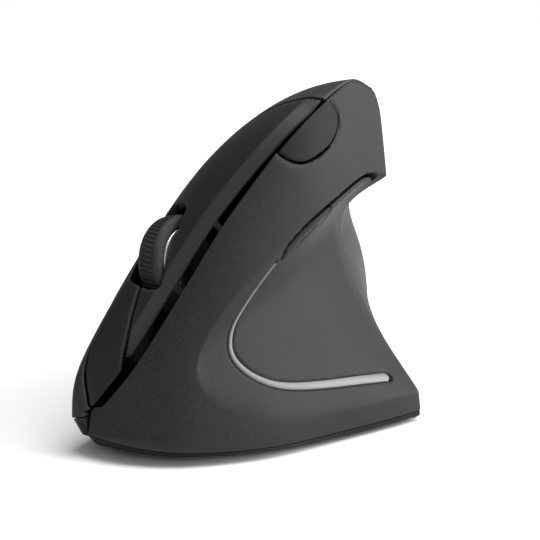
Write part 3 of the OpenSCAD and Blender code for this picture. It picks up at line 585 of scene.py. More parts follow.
# %% The open ridge seam
RIDGE_GAP, NARROW_FROM, SHARE_FROM, SHARE_RUN = (1.9, .7), .45, .12, .36
BLADE_REAR, NOSE_TIP, CREST_SEAM, NEAR_RIDGE = .745, .01, .4, .05
NOSE_FADE, REAR_FADE = .03, .015


def ridge_gap(u):
    """Width of the seam in millimetres: even to half way, then narrowing to the top."""
    narrowed = ease((u - NARROW_FROM) / (BLADE_REAR - NARROW_FROM))
    return RIDGE_GAP[0] + (RIDGE_GAP[1] - RIDGE_GAP[0]) * narrowed


def thumb_share(u):
    """Share of the seam that is taken from the thumb face: all of it near the nose."""
    return 1 - ease((u - SHARE_FROM) / SHARE_RUN)


def ridge_scale(face, u):
    """Millimetres across a face per unit of v, just below the ridge line."""
    return across_scale(face, u, np.full_like(u, NEAR_RIDGE))


def shell_top(u):
    """Where the thumb shell starts below the ridge line; behind the blades a fine seam is left."""
    beside_blade = ease((u - NOSE_TIP) / NOSE_FADE) * thumb_share(u) * ridge_gap(u)
    behind_blade = CREST_SEAM * ease((u - BLADE_REAR) / REAR_FADE)
    return (beside_blade + behind_blade) / ridge_scale(thumb_face, u)


print("ridge seam", round(float(ridge_gap(.2)), 2), "mm wide at the blades' tips")

# %% [markdown]
# Two side buttons lie end to end at the top of the scoop, within reach of the thumb. They share one
# opening in the shell. A boolean would leave ragged edges, so each opening is a signed distance on the
# face instead, less than 0 inside it.

# %% Outline of the side buttons
BUTTON_GAP, BUTTON_PROUD = .4, .4
SIDE_SPAN, SIDE_SPLIT, SIDE_MID, SIDE_HALF = (.605, .945), .7275, .334, .04
SIDE_TOP_GAP, SIDE_CORNER, SIDE_TAPER = .9, .45, .45


def scale_at(u, v):
    """Millimetres per unit of u and of v on the thumb face, at one place."""
    du, dv = slopes(thumb_face, np.array(u), np.array(v))
    return np.linalg.norm(du), np.linalg.norm(np.cross(du, dv)) / np.linalg.norm(du)


def rounded_box(a, b, radius):
    """Signed distance to two edges that meet in a round corner, from the distances to each."""
    corner = np.hypot(np.maximum(a + radius, 0), np.maximum(b + radius, 0))
    return corner + np.minimum(np.maximum(a, b) + radius, 0) - radius


SIDE_SCALE = scale_at(.75, SIDE_MID)


def side_half(u):
    """Half height of the band of side buttons: drawn in towards its ends."""
    s = (2 * u - SIDE_SPAN[0] - SIDE_SPAN[1]) / (SIDE_SPAN[1] - SIDE_SPAN[0])
    return SIDE_HALF * (1 - SIDE_TAPER * np.abs(s)**6)


def side_opening(u, v):
    """Distance to the opening of both side buttons; its upper gap is the wider one."""
    middle, reach = sum(SIDE_SPAN) / 2, (SIDE_SPAN[1] - SIDE_SPAN[0]) / 2
    gap = BUTTON_GAP + SIDE_TOP_GAP * ease((SIDE_MID - v) / SIDE_HALF)
    across = (np.abs(v - SIDE_MID) - side_half(u)) * SIDE_SCALE[1] - gap
    along = (np.abs(u - middle) - reach) * SIDE_SCALE[0] - BUTTON_GAP
    return rounded_box(across, along, SIDE_CORNER)


print("side buttons at", np.round(thumb_face(.75, SIDE_MID), 1))

# %% [markdown]
# The button at the ridge sets the pointer's speed. It is D-shaped: its straight side lies on the ridge
# seam and its round side in the thumb shell. Two lines, front and rear, give the shape at each height.
# The opening keeps an even gap to that outline, and a wider one below, where the dark line round the
# button is boldest.

# %% Outline of the ridge button
DPI_TOP, DPI_LOW, DPI_LOW_GAP, DPI_SPAN = .006, .118, .2, (.606, .752)
DPI_SLANT, DPI_BOW, DPI_BELLY, DPI_CORNER, CORNER_SHARE = .06, .055, .022, .018, .24


def dpi_ends(v):
    """Front and rear of the ridge button at v: straight on the ridge and drawn together below."""
    k = np.clip(v / DPI_LOW, 0, 1)
    corner = 1 - np.sqrt(1 - np.clip((k - 1 + CORNER_SHARE) / CORNER_SHARE, 0, 1)**2)
    front = DPI_SPAN[0] + DPI_SLANT * k**1.2 + DPI_BOW * (1 - np.sqrt(1 - k**6))
    return front, DPI_SPAN[1] + DPI_BELLY * np.sin(np.pi * k**1.3) - DPI_CORNER * corner


dpi_v = DPI_LOW * np.sin(np.linspace(0, np.pi / 2, 260))
dpi_front, dpi_rear = dpi_ends(dpi_v)
dpi_end = np.linspace(dpi_front[-1], dpi_rear[-1], 30)
dpi_line = thumb_face(np.concatenate([dpi_front, dpi_end, dpi_rear]),
                      np.concatenate([dpi_v, np.full_like(dpi_end, DPI_LOW), dpi_v]))


def dpi_opening(u, v):
    """Distance to the opening of the ridge button, measured to its outline; the gap is widest below."""
    front, rear = dpi_ends(v)
    inside = (v < DPI_LOW) & (u > front) & (u < rear)
    far = nearest(thumb_face(u, v).reshape(-1, 3), dpi_line)[0].reshape(np.shape(u))
    return np.where(inside, -far, far) - BUTTON_GAP - DPI_LOW_GAP * ease(v / DPI_LOW)


def holes(u, v):
    """Distance to the nearest opening that goes through the wall."""
    return np.minimum(side_opening(u, v), dpi_opening(u, v))


print("ridge button at", np.round(thumb_face(.69, DPI_LOW / 2), 1))

# %% [markdown]
# A silver inlay goes round the scoop like a U that lies on its side. It sits in a shallow groove that
# is moulded into the shell, thin at its upper tip and wide at its lower end. A slot right through the
# wall would be simpler, but a groove has a floor that the inlay is glued to.

# %% Groove of the inlay
STRIP = [(.585, .34), (.54, .405), (.49, .475), (.472, .55), (.48, .63), (.51, .715),
         (.56, .785), (.64, .835), (.74, .865), (.84, .885)]
STRIP_THIN, STRIP_WIDE, STRIP_T, STRIP_GAP = .75, 2.3, .9, .22
strip_t = np.linspace(0, 1, 320)
strip_uv = curve(STRIP, strip_t)
strip_line = thumb_face(strip_uv[:, 0], strip_uv[:, 1])


def strip_half(t):
    """Half width of the inlay: thin at its upper tip, wide at its lower end."""
    return (STRIP_THIN + (STRIP_WIDE - STRIP_THIN) * ease(t)**1.2) / 2


def strip_opening(u, v):
    """Distance to the groove of the inlay, from its middle line."""
    far, which = nearest(thumb_face(u, v).reshape(-1, 3), strip_line)
    return (far - strip_half(strip_t[which]) - STRIP_GAP).reshape(np.shape(u))


print("inlay from", np.round(strip_line[0], 1), "to", np.round(strip_line[-1], 1))

# %% [markdown]
# To cut an opening, the faces inside it go and the points beside it slide onto its outline, so that
# its edge is smooth. Inside the wall, the sides of an opening run along the way that its button is
# pressed, as a moulding tool would leave them, and the button goes in without touching.

# %% Cutting openings
def slide_to(outline, u, v, who, stand_off=0.0):
    """Moves the chosen places to a distance from an outline, by a few steps along its slope."""
    h = .0006
    for _ in range(5):
        a, b = u[who], v[who]
        f = outline(a, b) - stand_off
        du, dv = slopes(thumb_face, a, b)
        lu, lv = np.linalg.norm(du, axis=-1), np.linalg.norm(dv, axis=-1)
        fu = (outline(a + h, b) - outline(a - h, b)) / (2 * h * lu)
        fv = (outline(a, b + h) - outline(a, b - h)) / (2 * h * lv)
        step = np.clip(f / (fu**2 + fv**2 + 1e-9), -.5, .5)
        u[who] = a - step * fu / lu
        v[who] = np.clip(b - step * fv / lv, 0, 1)


def shared(quads, chosen):
    """Points that belong both to a chosen face and to another one."""
    return np.intersect1d(quads[chosen], quads[~chosen])


def through_wall(normal, joint):
    """Way along which a button goes in, as long as it takes to cross a wall of 1, and at most 2."""
    axis = np.array(AXES[joint])
    return axis / np.maximum(-normal @ axis, .5)[:, None]


print("side buttons go in along", AXES["forward_press"])

# %% [markdown]
# The thumb shell is the largest piece: the fin, the scoop and the wing in one moulding. It is a grid on
# the thumb face with its openings cut, its groove sunk and its edges rounded. At the ridge and at the
# fin's rear edge the wall is mitred, because another wall meets it there.

# %% Thumb shell
ROWS, COLUMNS, FOOT_BUNCH = 240, 172, 1.35
EDGE_R, GROOVE_R, GROOVE_DEPTH, HOLE_FLARE, FLARE_REACH = .5, .2, 1.0, .3, 3.0
RIDGE_MITRE, REAR_MITRE = .08, .1


def shell_lining(u, v, gap):
    """Inner places: mitred at two edges, off the openings by a flare, and in by the wall's thickness."""
    u_in = u - MITRE / LENGTH * ease((u - 1 + REAR_MITRE) / REAR_MITRE)
    v_in = v + MITRE / HEIGHT * ease(1 - v / RIDGE_MITRE)
    near = np.flatnonzero((gap > -.01) & (gap < FLARE_REACH))
    slide_to(holes, u_in, v_in, near, gap[near] + HOLE_FLARE * (1 - gap[near] / FLARE_REACH)**2)
    normal = outward(thumb_face, -1, u_in, v_in, .012)
    way = -normal
    for outline, joint in ((side_opening, "forward_press"), (dpi_opening, "dpi_press")):
        close = (1 - np.clip(outline(u, v) / FLARE_REACH, 0, 1))**2
        way = way + close[:, None] * (through_wall(normal, joint) - way)
    inner = thumb_face(u_in, v_in) + WALL * way
    inner[:, 2] = np.maximum(inner[:, 2], SKIRT)
    return inner


def thumb_shell():
    """Grid of the thumb face, closer towards the foot, less its openings and lowered in the groove."""
    down = 1 - (1 - np.linspace(0, 1, COLUMNS))**FOOT_BUNCH
    u, t = [grid.ravel() for grid in np.meshgrid(np.linspace(0, 1, ROWS), down, indexing="ij")]
    v = shell_top(u) + (1 - shell_top(u)) * t
    quads = grid_quads(ROWS, COLUMNS, -1)
    for outline in (strip_opening, holes):
        inside = outline(u, v)[quads].mean(1) < 0
        slide_to(outline, u, v, shared(quads, inside))
    groove = strip_opening(u, v)
    gap = holes(u, v)
    quads = quads[~inside]
    flat = thumb_face(u, v)
    net = flat.reshape(ROWS, COLUMNS, 3)
    edge = np.minimum(nearest(flat, np.vstack([net[:, 0], net[-1]]))[0], np.maximum(gap, 0))
    depth = np.maximum(rounding(edge, EDGE_R), rounding(np.maximum(groove, 0), GROOVE_R))
    depth = np.where(groove < -.05, GROOVE_DEPTH, depth)
    outer = flat - depth[:, None] * outward(thumb_face, -1, u, v)
    points, faces, used = closed_wall(outer, shell_lining(u, v, gap), quads)
    # The groove's floor is marked to be painted near black, as painted shade beside the inlay, and keeps no
    # wear.
    marks = edge_marks(np.where(groove < .02, 9, edge), used) - (np.tile(groove, 2)[used] < -.05)
    return new_piece("thumb_shell", points, faces, marks)


stand_for(thumb_shell(), "left_shell", paint)

# %% [markdown]
# The finger face is parted by seams into two blades and the palm shell. A knife or a boolean could
# part one finished shell, but each piece needs a wall and round edges of its own. So every seam is
# a line on the face, given as v for each u. The one below the blades starts at the nose on a round bow.

# %% Seams along the blades
RIDGE_LEAST = .15
LOWER_BOW, BOW_RUN, LOWER_DROP, DROP_FROM, DROP_RUN = .3, .05, .42, .06, .74


def ridge_v(u, extra=0.0):
    """Where the blades start: what the thumb face leaves of the ridge seam."""
    wide = np.maximum(RIDGE_LEAST, (1 - thumb_share(u)) * ridge_gap(u))
    return (wide + extra) / ridge_scale(finger_face, u)


def lower_v(u):
    """Seam below the blades: from the ridge at the nose on a round bow, then well down the side."""
    bow = LOWER_BOW * np.sqrt(1 - (1 - np.clip((u - NOSE_TIP) / BOW_RUN, 0, 1))**2)
    return bow + LOWER_DROP * np.clip((u - DROP_FROM) / DROP_RUN, 0, 1)**.62


def lower_scale(u):
    """Millimetres per unit of v, square to the lower seam."""
    h = .008
    along = finger_face(u + h, lower_v(u + h)) - finger_face(u - h, lower_v(u - h))
    across = (finger_face(u, lower_v(u) + h) - finger_face(u, lower_v(u) - h)) / (2 * h)
    return np.linalg.norm(np.cross(along, across), axis=-1) / np.linalg.norm(along, axis=-1)


print("lower seam at", np.round(finger_face(.4, lower_v(.4)), 1))

# %% [markdown]
# The seam between the blades is a flat cut that runs straight ahead, and it opens into a slot for the
# wheel. The blades' rows are turned square to that seam, so that the slot has square ends. The slot is
# as long as the wheel's chord at the depth of the wall, with a gap at each end.

# %% Seam between the blades
BLADE_GAP, SEAM_X, ROW_TURN, ROW_FADE = .5, .333 * WIDTH, .17, (.08, .12)
BLADE_START, BLADE_TIP = .016, .168
WHEEL_AT, WHEEL_R, WHEEL_W, WHEEL_PROUD = .43, 11.5, 6.4, 2.4
SLOT_END_GAP, SLOT_SIDE_GAP, SLOT_CORNER, SLOT_DRAFT, SEAM_STEP = 2.8, 1.2, .022, 1.5, .1


def v_at_x(u, x):
    """Place on the finger face at u whose x is given, found by halving."""
    low, high = np.zeros_like(u), np.ones_like(u)
    for _ in range(18):
        mid = (low + high) / 2
        left = finger_face(u, mid)[..., 0] < x
        low, high = np.where(left, mid, low), np.where(left, high, mid)
    return (low + high) / 2


def beside_seam(u, x):
    """Place of that x, or the ridge where the face starts beyond it."""
    return np.where(finger_face(u, 0 * u)[..., 0] > x, 0, v_at_x(u, x))


def seam_v(u):
    """The blade seam: the plane of SEAM_X, or the ridge where that lies beyond it."""
    return beside_seam(u, SEAM_X)


def row_u(u, v):
    """A row of the blades, turned square to the seam."""
    turn = ROW_TURN * ease((u - BLADE_TIP) / ROW_FADE[0]) * ease((BLADE_REAR - u) / ROW_FADE[1])
    return u + turn * (v - seam_v(u))


def meet(u, limit):
    """The v where the row of u meets a limit: the limit is asked again at the place found, twice."""
    return limit(row_u(u, limit(row_u(u, limit(u)))))


seam_u = WHEEL_AT + SEAM_STEP * np.array([.5, -.5])
seam_ends = finger_face(seam_u, v_at_x(seam_u, SEAM_X))
wheel_chord = math.sqrt(WHEEL_R**2 - (WHEEL_R - WHEEL_PROUD - WALL)**2)
SLOT_REACH = (wheel_chord + SLOT_END_GAP) * SEAM_STEP / np.linalg.norm(seam_ends[0] - seam_ends[1])
SLOT_SIDE = WHEEL_W / 2 + SLOT_SIDE_GAP


def seam_half(u, inside):
    """Half width of the blade seam, which opens with round corners into the slot of the wheel."""
    into = np.clip((SLOT_REACH - np.abs(u - WHEEL_AT)) / SLOT_CORNER, 0, 1)
    opening = SLOT_SIDE - BLADE_GAP / 2 + SLOT_DRAFT * inside
    return BLADE_GAP / 2 + opening * np.sqrt(1 - (1 - into)**2)


print("slot reaches", round(SLOT_REACH, 3), "along the face")

# %% [markdown]
# All three pieces of the finger face are walls with rows along the face and columns across it. Rows
# and columns lie closer together at edges, where the rounding needs them. One function makes all three,
# so that their edges match. The left blade also has a flat bevel along the ridge, which catches the
# light, and its paint is made paler there too: a painted highlight that makes the pale strip.

# %% Walls on the finger face
BEVEL_REACH, BEVEL_END, BEVEL_HIGHLIGHT, PALM_WALL = 3.4, .03, .8, 1.8


def bunched(count, end=.012, most=4):
    """Steps from 0 to 1 with a few close ones at both ends, for the rounded edges."""
    close = end * np.arange(1, most) / most
    return np.concatenate([[0], close, np.linspace(end, 1 - end, count), 1 - close[::-1], [1]])


def finger_piece(name, place, columns, level=False, bevel=0.0):
    """Wall on the finger face; place gives the two edges of each row outside (0) and inside (1).

    A bevel lowers the outside towards the first edge of the rows, straight over BEVEL_REACH."""
    t = bunched(columns)
    sheets = []
    for inside in (0, 1):
        u, low, high, slanted = place(inside)
        v = low[:, None] + (high - low)[:, None] * t
        rows = np.broadcast_to(u[:, None], v.shape)
        sheets.append(((row_u(rows, v) if slanted else rows).ravel(), v.ravel()))
    (u, v), (u_in, v_in) = sheets
    flat = finger_face(u, v)
    shape = (-1, len(t), 3)
    net = flat.reshape(shape)
    rim = np.vstack([net[:, 0], net[0], net[-1]] + ([] if level else [net[:, -1]]))
    edge = nearest(flat, rim)[0]
    slope = np.clip(1 - nearest(flat, net[:, 0])[0] / BEVEL_REACH, 0, 1) if bevel else 0 * edge
    depth = rounding(edge, EDGE_R) + bevel * slope * ease((BLADE_REAR - u) / BEVEL_END)
    outer = flat - depth[:, None] * outward(finger_face, 1, u, v)
    wall = PALM_WALL if level else WALL
    inner = finger_face(u_in, v_in) - wall * outward(finger_face, 1, u_in, v_in, .015)
    if level:
        inner.reshape(shape)[:, -1, 2] = finger_face(u_in, v_in).reshape(shape)[:, -1, 2]
    quads = grid_quads(len(net), len(t), 1)
    points, faces, used = closed_wall(outer, inner, quads)
    # The bevel is marked to be painted paler: a painted highlight, on top of the light it catches.
    made_paler = np.concatenate([BEVEL_HIGHLIGHT * ease(12 * slope), 0 * slope])[used]
    return new_piece(name, points, faces, np.maximum(edge_marks(edge, used), made_paler - (used >= len(flat))))


print("columns bunch to", np.round(bunched(3), 3))

# %% [markdown]
# The two blades are the left and right mouse buttons. On the real mouse each is a long tongue that
# bends at its rear end and presses a switch. A straight seam parts them and opens round the wheel.
# The right blade goes on past the tip of the left one, down to the nose.

# %% The blades
BEVEL_DROP, LEFT_LEAST, RIGHT_LEAST = 1.0, .008, .03
LOW_DRAFT, NOSE_DRAFT, DRAFT_FROM, DRAFT_RUN = .25, 5, .15, .15
SLOT_STEPS = [-.05, .01, .03, .08, .16, .3, .5, .75, 1]
ROWS_BEFORE, ROWS_IN_SLOT, ROWS_BEHIND, ROWS_CLOSE = 46, 20, 54, .008


def blade_rows():
    """Rows along a blade, closer together at the ends of the slot."""
    corner = SLOT_CORNER * np.array(SLOT_STEPS)
    front = WHEEL_AT - SLOT_REACH + corner
    rear = WHEEL_AT + SLOT_REACH - corner[::-1]
    before = BLADE_TIP + (front[0] - BLADE_TIP) * bunched(ROWS_BEFORE, ROWS_CLOSE)[:-1]
    between = np.linspace(front[-1], rear[0], ROWS_IN_SLOT)[1:-1]
    behind = rear[-1] + (BLADE_REAR - rear[-1]) * bunched(ROWS_BEHIND, ROWS_CLOSE)[1:]
    return np.concatenate([before, front, between, rear, behind])


def lean(u, inside):
    """The blade seam is a flat cut, so its inner places stand off by what the wall leans."""
    return inside * WALL * outward(finger_face, 1, u, np.maximum(seam_v(u), .02))[..., 0]


def left_blade(inside):
    """From the ridge seam to the blade seam."""
    u = blade_rows()
    high = meet(u, lambda w: v_at_x(w, SEAM_X - seam_half(u, inside) + lean(w, inside)))
    low = np.minimum(meet(u, lambda w: ridge_v(w, inside * MITRE)), high - LEFT_LEAST)
    return u, low, high, True


def low_draft(u):
    """How far the inside of the lower seam draws back, more at the nose."""
    return LOW_DRAFT * (NOSE_DRAFT - (NOSE_DRAFT - 1) * ease((u - DRAFT_FROM) / DRAFT_RUN))


def right_blade(inside):
    """From the ridge or blade seam down to the lower seam."""
    nose = BLADE_START + (BLADE_TIP - BLADE_START) * np.linspace(0, .97, 40)**2
    u = np.concatenate([nose, blade_rows()])
    low = meet(u, lambda w: lower_v(w) - (BLADE_GAP / 2 + inside * low_draft(w)) / lower_scale(w))
    seam = SEAM_X + seam_half(u, inside)
    high = meet(u, lambda w: np.maximum(ridge_v(w, inside * MITRE), beside_seam(w, seam + lean(w, inside))))
    return u, np.minimum(high, low - RIGHT_LEAST), low, True


left = finger_piece("left_blade", left_blade, 60, bevel=BEVEL_DROP)
right = finger_piece("right_blade", right_blade, 40)
stand_for(left, "left_button", shaded_blade_paint)
stand_for(right, "right_button", shaded_blade_paint)

# %% [markdown]
# The palm shell is the rest of that face: a panel below the blades, the heel and the back, in one
# moulding. Its rows follow the lower seam up to the blades' rear end, turn up there, and then follow
# the ridge and the fin's rear edge round to the wing. Its lower edge is level and stands on the base.

# %% The palm shell
JOINT_GAP, NOSE_START, PALM_END = .3, .004, 1.985


def crest_v(u, inside):
    """Thin seam between two shells, mitred inside."""
    return (JOINT_GAP + inside * MITRE) / ridge_scale(finger_face, u)


def palm(inside):
    """Below the lower seam, and behind the blades from the ridge and the fin's edge down to the base.

    Rows lie closer together round the fin's corner."""
    behind = BLADE_REAR + BLADE_GAP / LENGTH
    tip = np.linspace(NOSE_START, BLADE_START, 8)[:-1]
    nose = BLADE_START + (BLADE_TIP - BLADE_START) * np.linspace(0, 1, 50)**2
    front = np.concatenate([tip, nose, np.linspace(BLADE_TIP + .005, BLADE_REAR, 96)])
    step = np.linspace(0, 1, 28)
    rear = np.concatenate([np.linspace(behind + .006, .985, 40), np.linspace(.99, 1.03, 12),
                           np.linspace(1.04, PALM_END, 90)])
    upper = lower_v(front) + (BLADE_GAP / 2 + inside * low_draft(front)) / lower_scale(front)
    upper = np.maximum(upper, crest_v(front, inside))
    crest = crest_v(rear, inside)
    last, first = upper[-1], crest[0]
    u = np.concatenate([front, behind + .002 * step, rear])
    low = np.concatenate([upper, last + (first - last) * step, crest])
    return u, low, np.ones_like(u), False


stand_for(finger_piece("palm", palm, 56, level=True), "palm_shell", paint)

# %% [markdown]
# The small buttons are patches of the thumb face, so that they carry on its shape. Each is a grid of
# places outside and another inside. The inner one is drawn together, and drawn back where another wall
# is near, because the button has to go in freely.

# %% Places of the small buttons
KEY_DRAFT, KEY_MITRE, SIDE_MITRE = .14, 3.0, 1.5


def drawn_in(steps, inside):
    """Steps from 0 to 1, drawn to their middle on the inside so that the button goes in freely."""
    return .5 + (1 - inside * KEY_DRAFT) * (steps - .5)


def side_places(span, inside):
    """Stretch of the band of side buttons, mitred inside at its upper edge."""
    u = span[0] + (span[1] - span[0]) * drawn_in(bunched(130, .03), inside)[:, None]
    t = bunched(60, .06)
    v = SIDE_MID + side_half(u) * (2 * drawn_in(t, inside) - 1)
    return np.broadcast_arrays(u, v + inside * SIDE_MITRE / SIDE_SCALE[1] * (1 - t))


def dpi_places(inside):
    """D-shaped stretch between the front and rear lines, mitred inside where it meets the ridge."""
    top = DPI_TOP + inside * KEY_MITRE / HEIGHT
    v = top + (DPI_LOW - top) * drawn_in(bunched(50, .04), inside)
    front, rear = dpi_ends(v)
    return np.broadcast_arrays(front + (rear - front) * drawn_in(bunched(70, .03), inside)[:, None], v)


print("ridge button has", dpi_places(0)[0].shape, "places")

# %% [markdown]
# The buttons stand a little proud and have rounded edges. The side buttons carry fine cut marks that
# a touch can tell apart, an arrow on the front one and a bar on the other. A mould makes such marks
# with thin ribs, so here they are sunk into the grid and painted near black, as painted shade in the cuts.

# %% Small buttons
MARK_W, MARK_H = .32, .3


def engraved(flat, marks):
    """1 on the lines of the marks, 0 beside them."""
    dark = np.zeros(len(flat))
    for line in marks:
        steps = np.linspace(0, 1, 24)[:, None]
        trail = np.vstack([np.array(a) + (np.array(b) - a) * steps for a, b in zip(line[:-1], line[1:])])
        dark = np.maximum(dark, ease(1.5 - nearest(flat, thumb_face(trail[:, 0], trail[:, 1]))[0] / MARK_W))
    return dark


def small_button(name, places, joint, proud, marks=()):
    """Wall on the thumb face from grids of outer and inner places: rounded edges and sunk marks."""
    shape = places(0)[0].shape
    (u, v), (u_in, v_in) = [[grid.ravel() for grid in places(inside)] for inside in (0, 1)]
    flat = thumb_face(u, v)
    net = flat.reshape(*shape, 3)
    edge = nearest(flat, np.vstack([net[0], net[-1], net[:, 0], net[:, -1]]))[0]
    dark = engraved(flat, marks)
    height = proud - rounding(edge, EDGE_R) - MARK_H * dark
    outer = flat + height[:, None] * outward(thumb_face, -1, u, v)
    inner = thumb_face(u_in, v_in) + WALL * through_wall(outward(thumb_face, -1, u_in, v_in, .012), joint)
    points, faces, used = closed_wall(outer, inner, grid_quads(*shape, -1))
    # The cut marks are marked to be painted near black: painted shade.
    return new_piece(name, points, faces, edge_marks(edge, used, .5) - np.tile(dark, 2)[used])


part_half = .5 * BUTTON_GAP / SIDE_SCALE[0]
side_keys = {
    "forward": ((SIDE_SPAN[0], SIDE_SPLIT - part_half),
                [[(.688, SIDE_MID - .012), (.677, SIDE_MID + .004), (.652, SIDE_MID + .006)]]),
    "back": ((SIDE_SPLIT + part_half, SIDE_SPAN[1]), [[(.79, SIDE_MID + .002), (.83, SIDE_MID + .002)]]),
}
for side, (span, marks) in side_keys.items():
    key = small_button(side + "_key", lambda inside: side_places(span, inside), side + "_press",
                       BUTTON_PROUD, marks)
    stand_for(key, side + "_button", shaded_side_paint)
ridge_key = small_button("ridge_key", dpi_places, "dpi_press", BUTTON_PROUD / 2)
stand_for(ridge_key, "dpi_button", shaded_blade_paint)

# %% [markdown]
# The silver inlay is a thin bar that follows its groove round the scoop. A curve with a bevel profile
# could make it, but such a profile may twist, and this one has to stay square to the face. So its cross
# section, a low crown with small chamfers, is carried along the middle line and widened on the way.

# %% Silver inlay
CROWN = [(-1, -STRIP_T), (-1, -.14), (-.93, .02), (-.8, .09), (-.5, .17), (0, .2),
         (.5, .17), (.8, .09), (.93, .02), (1, -.14), (1, -STRIP_T)]


def tube_quads(rows, sides):
    """Faces of a closed tube of rings: two neighbours on a ring and the same two on the next ring."""
    i = np.arange(rows * sides).reshape(rows, sides)
    right = np.roll(i, -1, 1)
    return np.stack([i, right, np.roll(right, -1, 0), np.roll(i, -1, 0)], -1).reshape(-1, 4)


def inlay():
    """The crown's points go across by the half width and out along the normal, at each step of the line."""
    n = outward(thumb_face, -1, strip_uv[:, 0], strip_uv[:, 1])
    across = np.cross(n, np.gradient(strip_line, axis=0))
    across /= np.linalg.norm(across, axis=-1, keepdims=True)
    crown = np.array(CROWN)
    taper = np.minimum(1, .35 + 60 * strip_t) * np.minimum(1, .5 + 60 * (1 - strip_t))
    half = strip_half(strip_t) * taper
    rings = (strip_line[:, None] + across[:, None] * (crown[:, 0] * half[:, None])[..., None]
             + n[:, None] * crown[:, 1][:, None])
    rows, sides = len(strip_t), len(crown)
    last = (rows - 1) * sides
    ends = [list(range(sides))[::-1], list(range(last, last + sides))]
    faces = tube_quads(rows, sides)[:last].tolist() + ends
    uv = np.stack(np.broadcast_arrays(strip_t[:, None], np.linspace(0, 1, sides)), -1).reshape(-1, 2)
    return new_piece("thumb_inlay", rings.reshape(-1, 3), faces, uv=uv, sharp=35)


stand_for(inlay(), "thumb_strip", strip_silver)

# %% [markdown]
# The wheel stands in the slot between the blades and turns on an axle that lies across their seam. Its
# centre is found from the face: out to where the tread stands proud, and back by the radius. The tyre
# and the caps are profiles turned round that axle, as on a lathe.

# %% The wheel's place
seam_at_wheel = float(v_at_x(np.array(WHEEL_AT), SEAM_X))
wheel_out = outward(finger_face, 1, np.array(WHEEL_AT), np.array(seam_at_wheel))
wheel_along = np.cross(wheel_out, (1, 0, 0))
wheel_along /= np.linalg.norm(wheel_along)
wheel_across = np.cross(wheel_along, wheel_out)
wheel_centre = finger_face(WHEEL_AT, seam_at_wheel) + (WHEEL_PROUD - WHEEL_R) * wheel_out


def turned(name, angles, across, radius, finish_uv=None):
    """Closed ring: at each angle a closed profile of places across the axle and radii."""
    a = angles[:, None]
    spoke = np.cos(a)[..., None] * wheel_out + np.sin(a)[..., None] * wheel_along
    points = wheel_centre + across[..., None] * wheel_across + radius[..., None] * spoke
    return new_piece(name, points.reshape(-1, 3), tube_quads(*radius.shape), uv=finish_uv, sharp=50)


print("wheel centre at", np.round(wheel_centre, 1))

# %% [markdown]
# The tyre is a ring of rubber, moulded on its own and stretched over the hub. Fine slanted ribs on the
# tread give it grip. One rib could be modelled and repeated, but a rib is just one wave of a cosine
# round the tyre, so all ribs are one array.

# %% Tyre
RIBS, RIB_DEPTH, RIB_SLANT, RIB_SPAN, RIB_FADE = 64, .38, .35, .62, .08
HUB_R, TREAD_ROUND = 9.0, 1.2


def wheel_tyre():
    """Rounded tread whose ribs are a wave round the tyre that slants across it; its bore fits the hub."""
    half = WHEEL_W / 2
    x = np.linspace(-1, 1, 33)
    crown = WHEEL_R - TREAD_ROUND * np.abs(x)**5
    angles = np.linspace(0, 2 * np.pi, RIBS * 10, endpoint=False)
    wave = .5 - .5 * np.cos(RIBS * (angles[:, None] + RIB_SLANT * x * half / WHEEL_R))
    ribbed = ease((RIB_SPAN - np.abs(x)) / RIB_FADE)
    tread = crown - RIB_DEPTH * ribbed * wave**1.5
    bore = np.full((len(angles), 5), HUB_R)
    radius = np.hstack([tread, bore])
    across = np.broadcast_to(np.concatenate([x * half, np.linspace(half, -half, 5)]), radius.shape)
    return turned("ribbed_tyre", angles, across, radius)


stand_for(wheel_tyre(), "wheel_tyre", tyre_rubber)

# %% [markdown]
# A bright cap closes each side of the wheel. It is a shallow dish with a rounded rim, stamped or moulded
# and plated. The Screw modifier could turn it, but an array also gives it the map along which the
# streaks of its finish run round.

# %% Wheel caps
HUB_HALF, CAP_STEPS, MAP_R = (WHEEL_W - 1.6) / 2, 128, 10
DISH = [(1.2, .5), (2.2, .42), (4, .38), (6, .46), (7.2, .6), (7.8, .7), (8.2, .66), (8.5, .5),
        (8.6, .25), (8.6, 0), (1.2, 0)]


def wheel_cap(name, side):
    """Dish of radii and heights turned round the axle, on the far (1) or near (-1) side of the hub."""
    r, out = np.array(DISH[::side]).T
    angles = np.linspace(0, 2 * np.pi, CAP_STEPS, endpoint=False)
    radius = np.broadcast_to(r, (CAP_STEPS, len(r)))
    height = HUB_HALF + out
    round_map = np.broadcast_arrays(angles[:, None] / (2 * np.pi), radius / MAP_R)
    across = np.broadcast_to(side * height, radius.shape)
    return turned(name, angles, across, radius, np.stack(round_map, -1).reshape(-1, 2))


stand_for(wheel_cap("wheel_cap_near", -1), "wheel_caps", cap_silver)
stand_for(wheel_cap("wheel_cap_far", 1), "wheel_caps", cap_silver)

# %% [markdown]
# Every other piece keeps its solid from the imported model, because flat and round machine parts look
# right as they are. Each takes a finish by the slot that the record gives it.

# %% Finishes of the carried pieces
def dress_nodes():
    """Each node takes the finish of its slot, or its own one."""
    slots = {s["node"]: s["material_slot"] for s in frame["record"]["subparts"]}
    for name, node in frame["nodes"].items():
        finish = OWN_FINISHES.get(name, NODE_FINISHES[slots[name]])
        node.data.materials.clear()
        node.data.materials.append(finish)
    return len(slots)


print("dressed", dress_nodes(), "nodes")

# %% [markdown]
# A product picture has a white ground that keeps a soft shadow. The floor is a pale, plain disc. The
# world is white to the camera and dimmer as a light, because a bright one would wash out black paint.

# %% Floor and world
FLOOR_R, FLOOR_SIDES = .55, 96


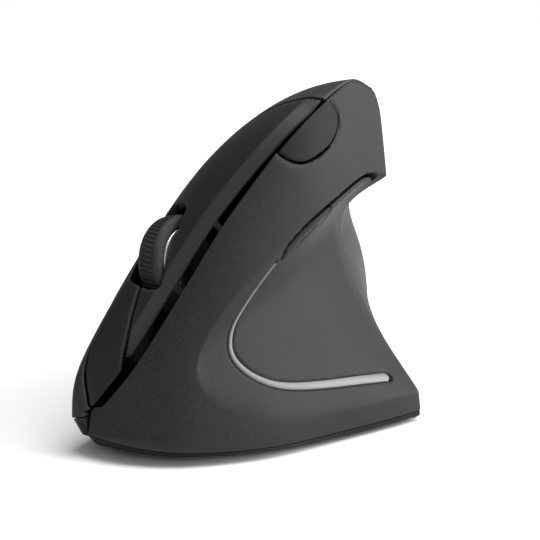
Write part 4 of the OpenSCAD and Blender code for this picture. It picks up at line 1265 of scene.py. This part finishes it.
def pale_floor():
    """A wide disc of pale paint, with a faint tooth."""
    f = Finish("floor_paint", Roughness=.9)
    f.set(Base_Color=f.mix(f.noise(30), grey(.93), grey(.95)))
    a = np.linspace(0, 2 * np.pi, FLOOR_SIDES, endpoint=False)
    mesh = bpy.data.meshes.new("floor")
    rim = np.stack([FLOOR_R * np.cos(a), FLOOR_R * np.sin(a), 0 * a], -1)
    mesh.from_pydata(rim.tolist(), [], [list(range(FLOOR_SIDES))])
    floor = bpy.data.objects.new("floor", mesh)
    bpy.context.scene.collection.objects.link(floor)
    mesh.materials.append(f.material)
    return floor


def white_world(light):
    """White to the camera and through glass; a plain light of that strength for everything else."""
    world = bpy.data.worlds.new("studio")
    world.use_nodes = True
    board = Board(world.node_tree)
    back = board.tree.nodes["Background"]
    camera_ray = board.node("ShaderNodeLightPath", {}, {}, "Is Camera Ray")
    through_ray = board.node("ShaderNodeLightPath", {}, {}, "Is Transmission Ray")
    board.feed(back.inputs["Color"], (1, 1, 1, 1))
    board.feed(back.inputs["Strength"], light + (1 - light) * (camera_ray + through_ray).share())
    bpy.context.scene.world = world
    return world


print("floor", pale_floor().name, "world", white_world(.3).name)

# %% [markdown]
# Three large soft lamps light the mouse: a key at the right of the picture, a weak fill in front and to
# the right, and one above. Black paint shows its shape only by what it reflects, so the lamps are large
# and the finger side is left darker.

# %% Lamps
def soft_lamp(name, place, aim, size, power):
    """Square area lamp at a place, in millimetres, facing a point."""
    lamp = bpy.data.lights.new(name, "AREA")
    lamp.energy, lamp.size = power, size
    thing = bpy.data.objects.new(name, lamp)
    bpy.context.scene.collection.objects.link(thing)
    thing.location = np.array(place) * MM
    way = (np.array(aim) - place) * MM
    flat = math.hypot(way[0], way[1])
    thing.rotation_euler = (math.atan2(flat, -way[2]), 0, math.atan2(-way[0], way[1]))
    return thing


lamps = [
    soft_lamp("key", place=(-850, -520, 560), aim=(0, 0, 40), size=.8, power=14),
    soft_lamp("fill", place=(-900, 420, 260), aim=(0, 0, 40), size=.7, power=3),
    soft_lamp("top", place=(-250, -250, 1300), aim=(0, 0, 30), size=1.0, power=17),
]
bpy.context.scene.view_settings.view_transform = "Standard"
print("lamps", [lamp.name for lamp in lamps])
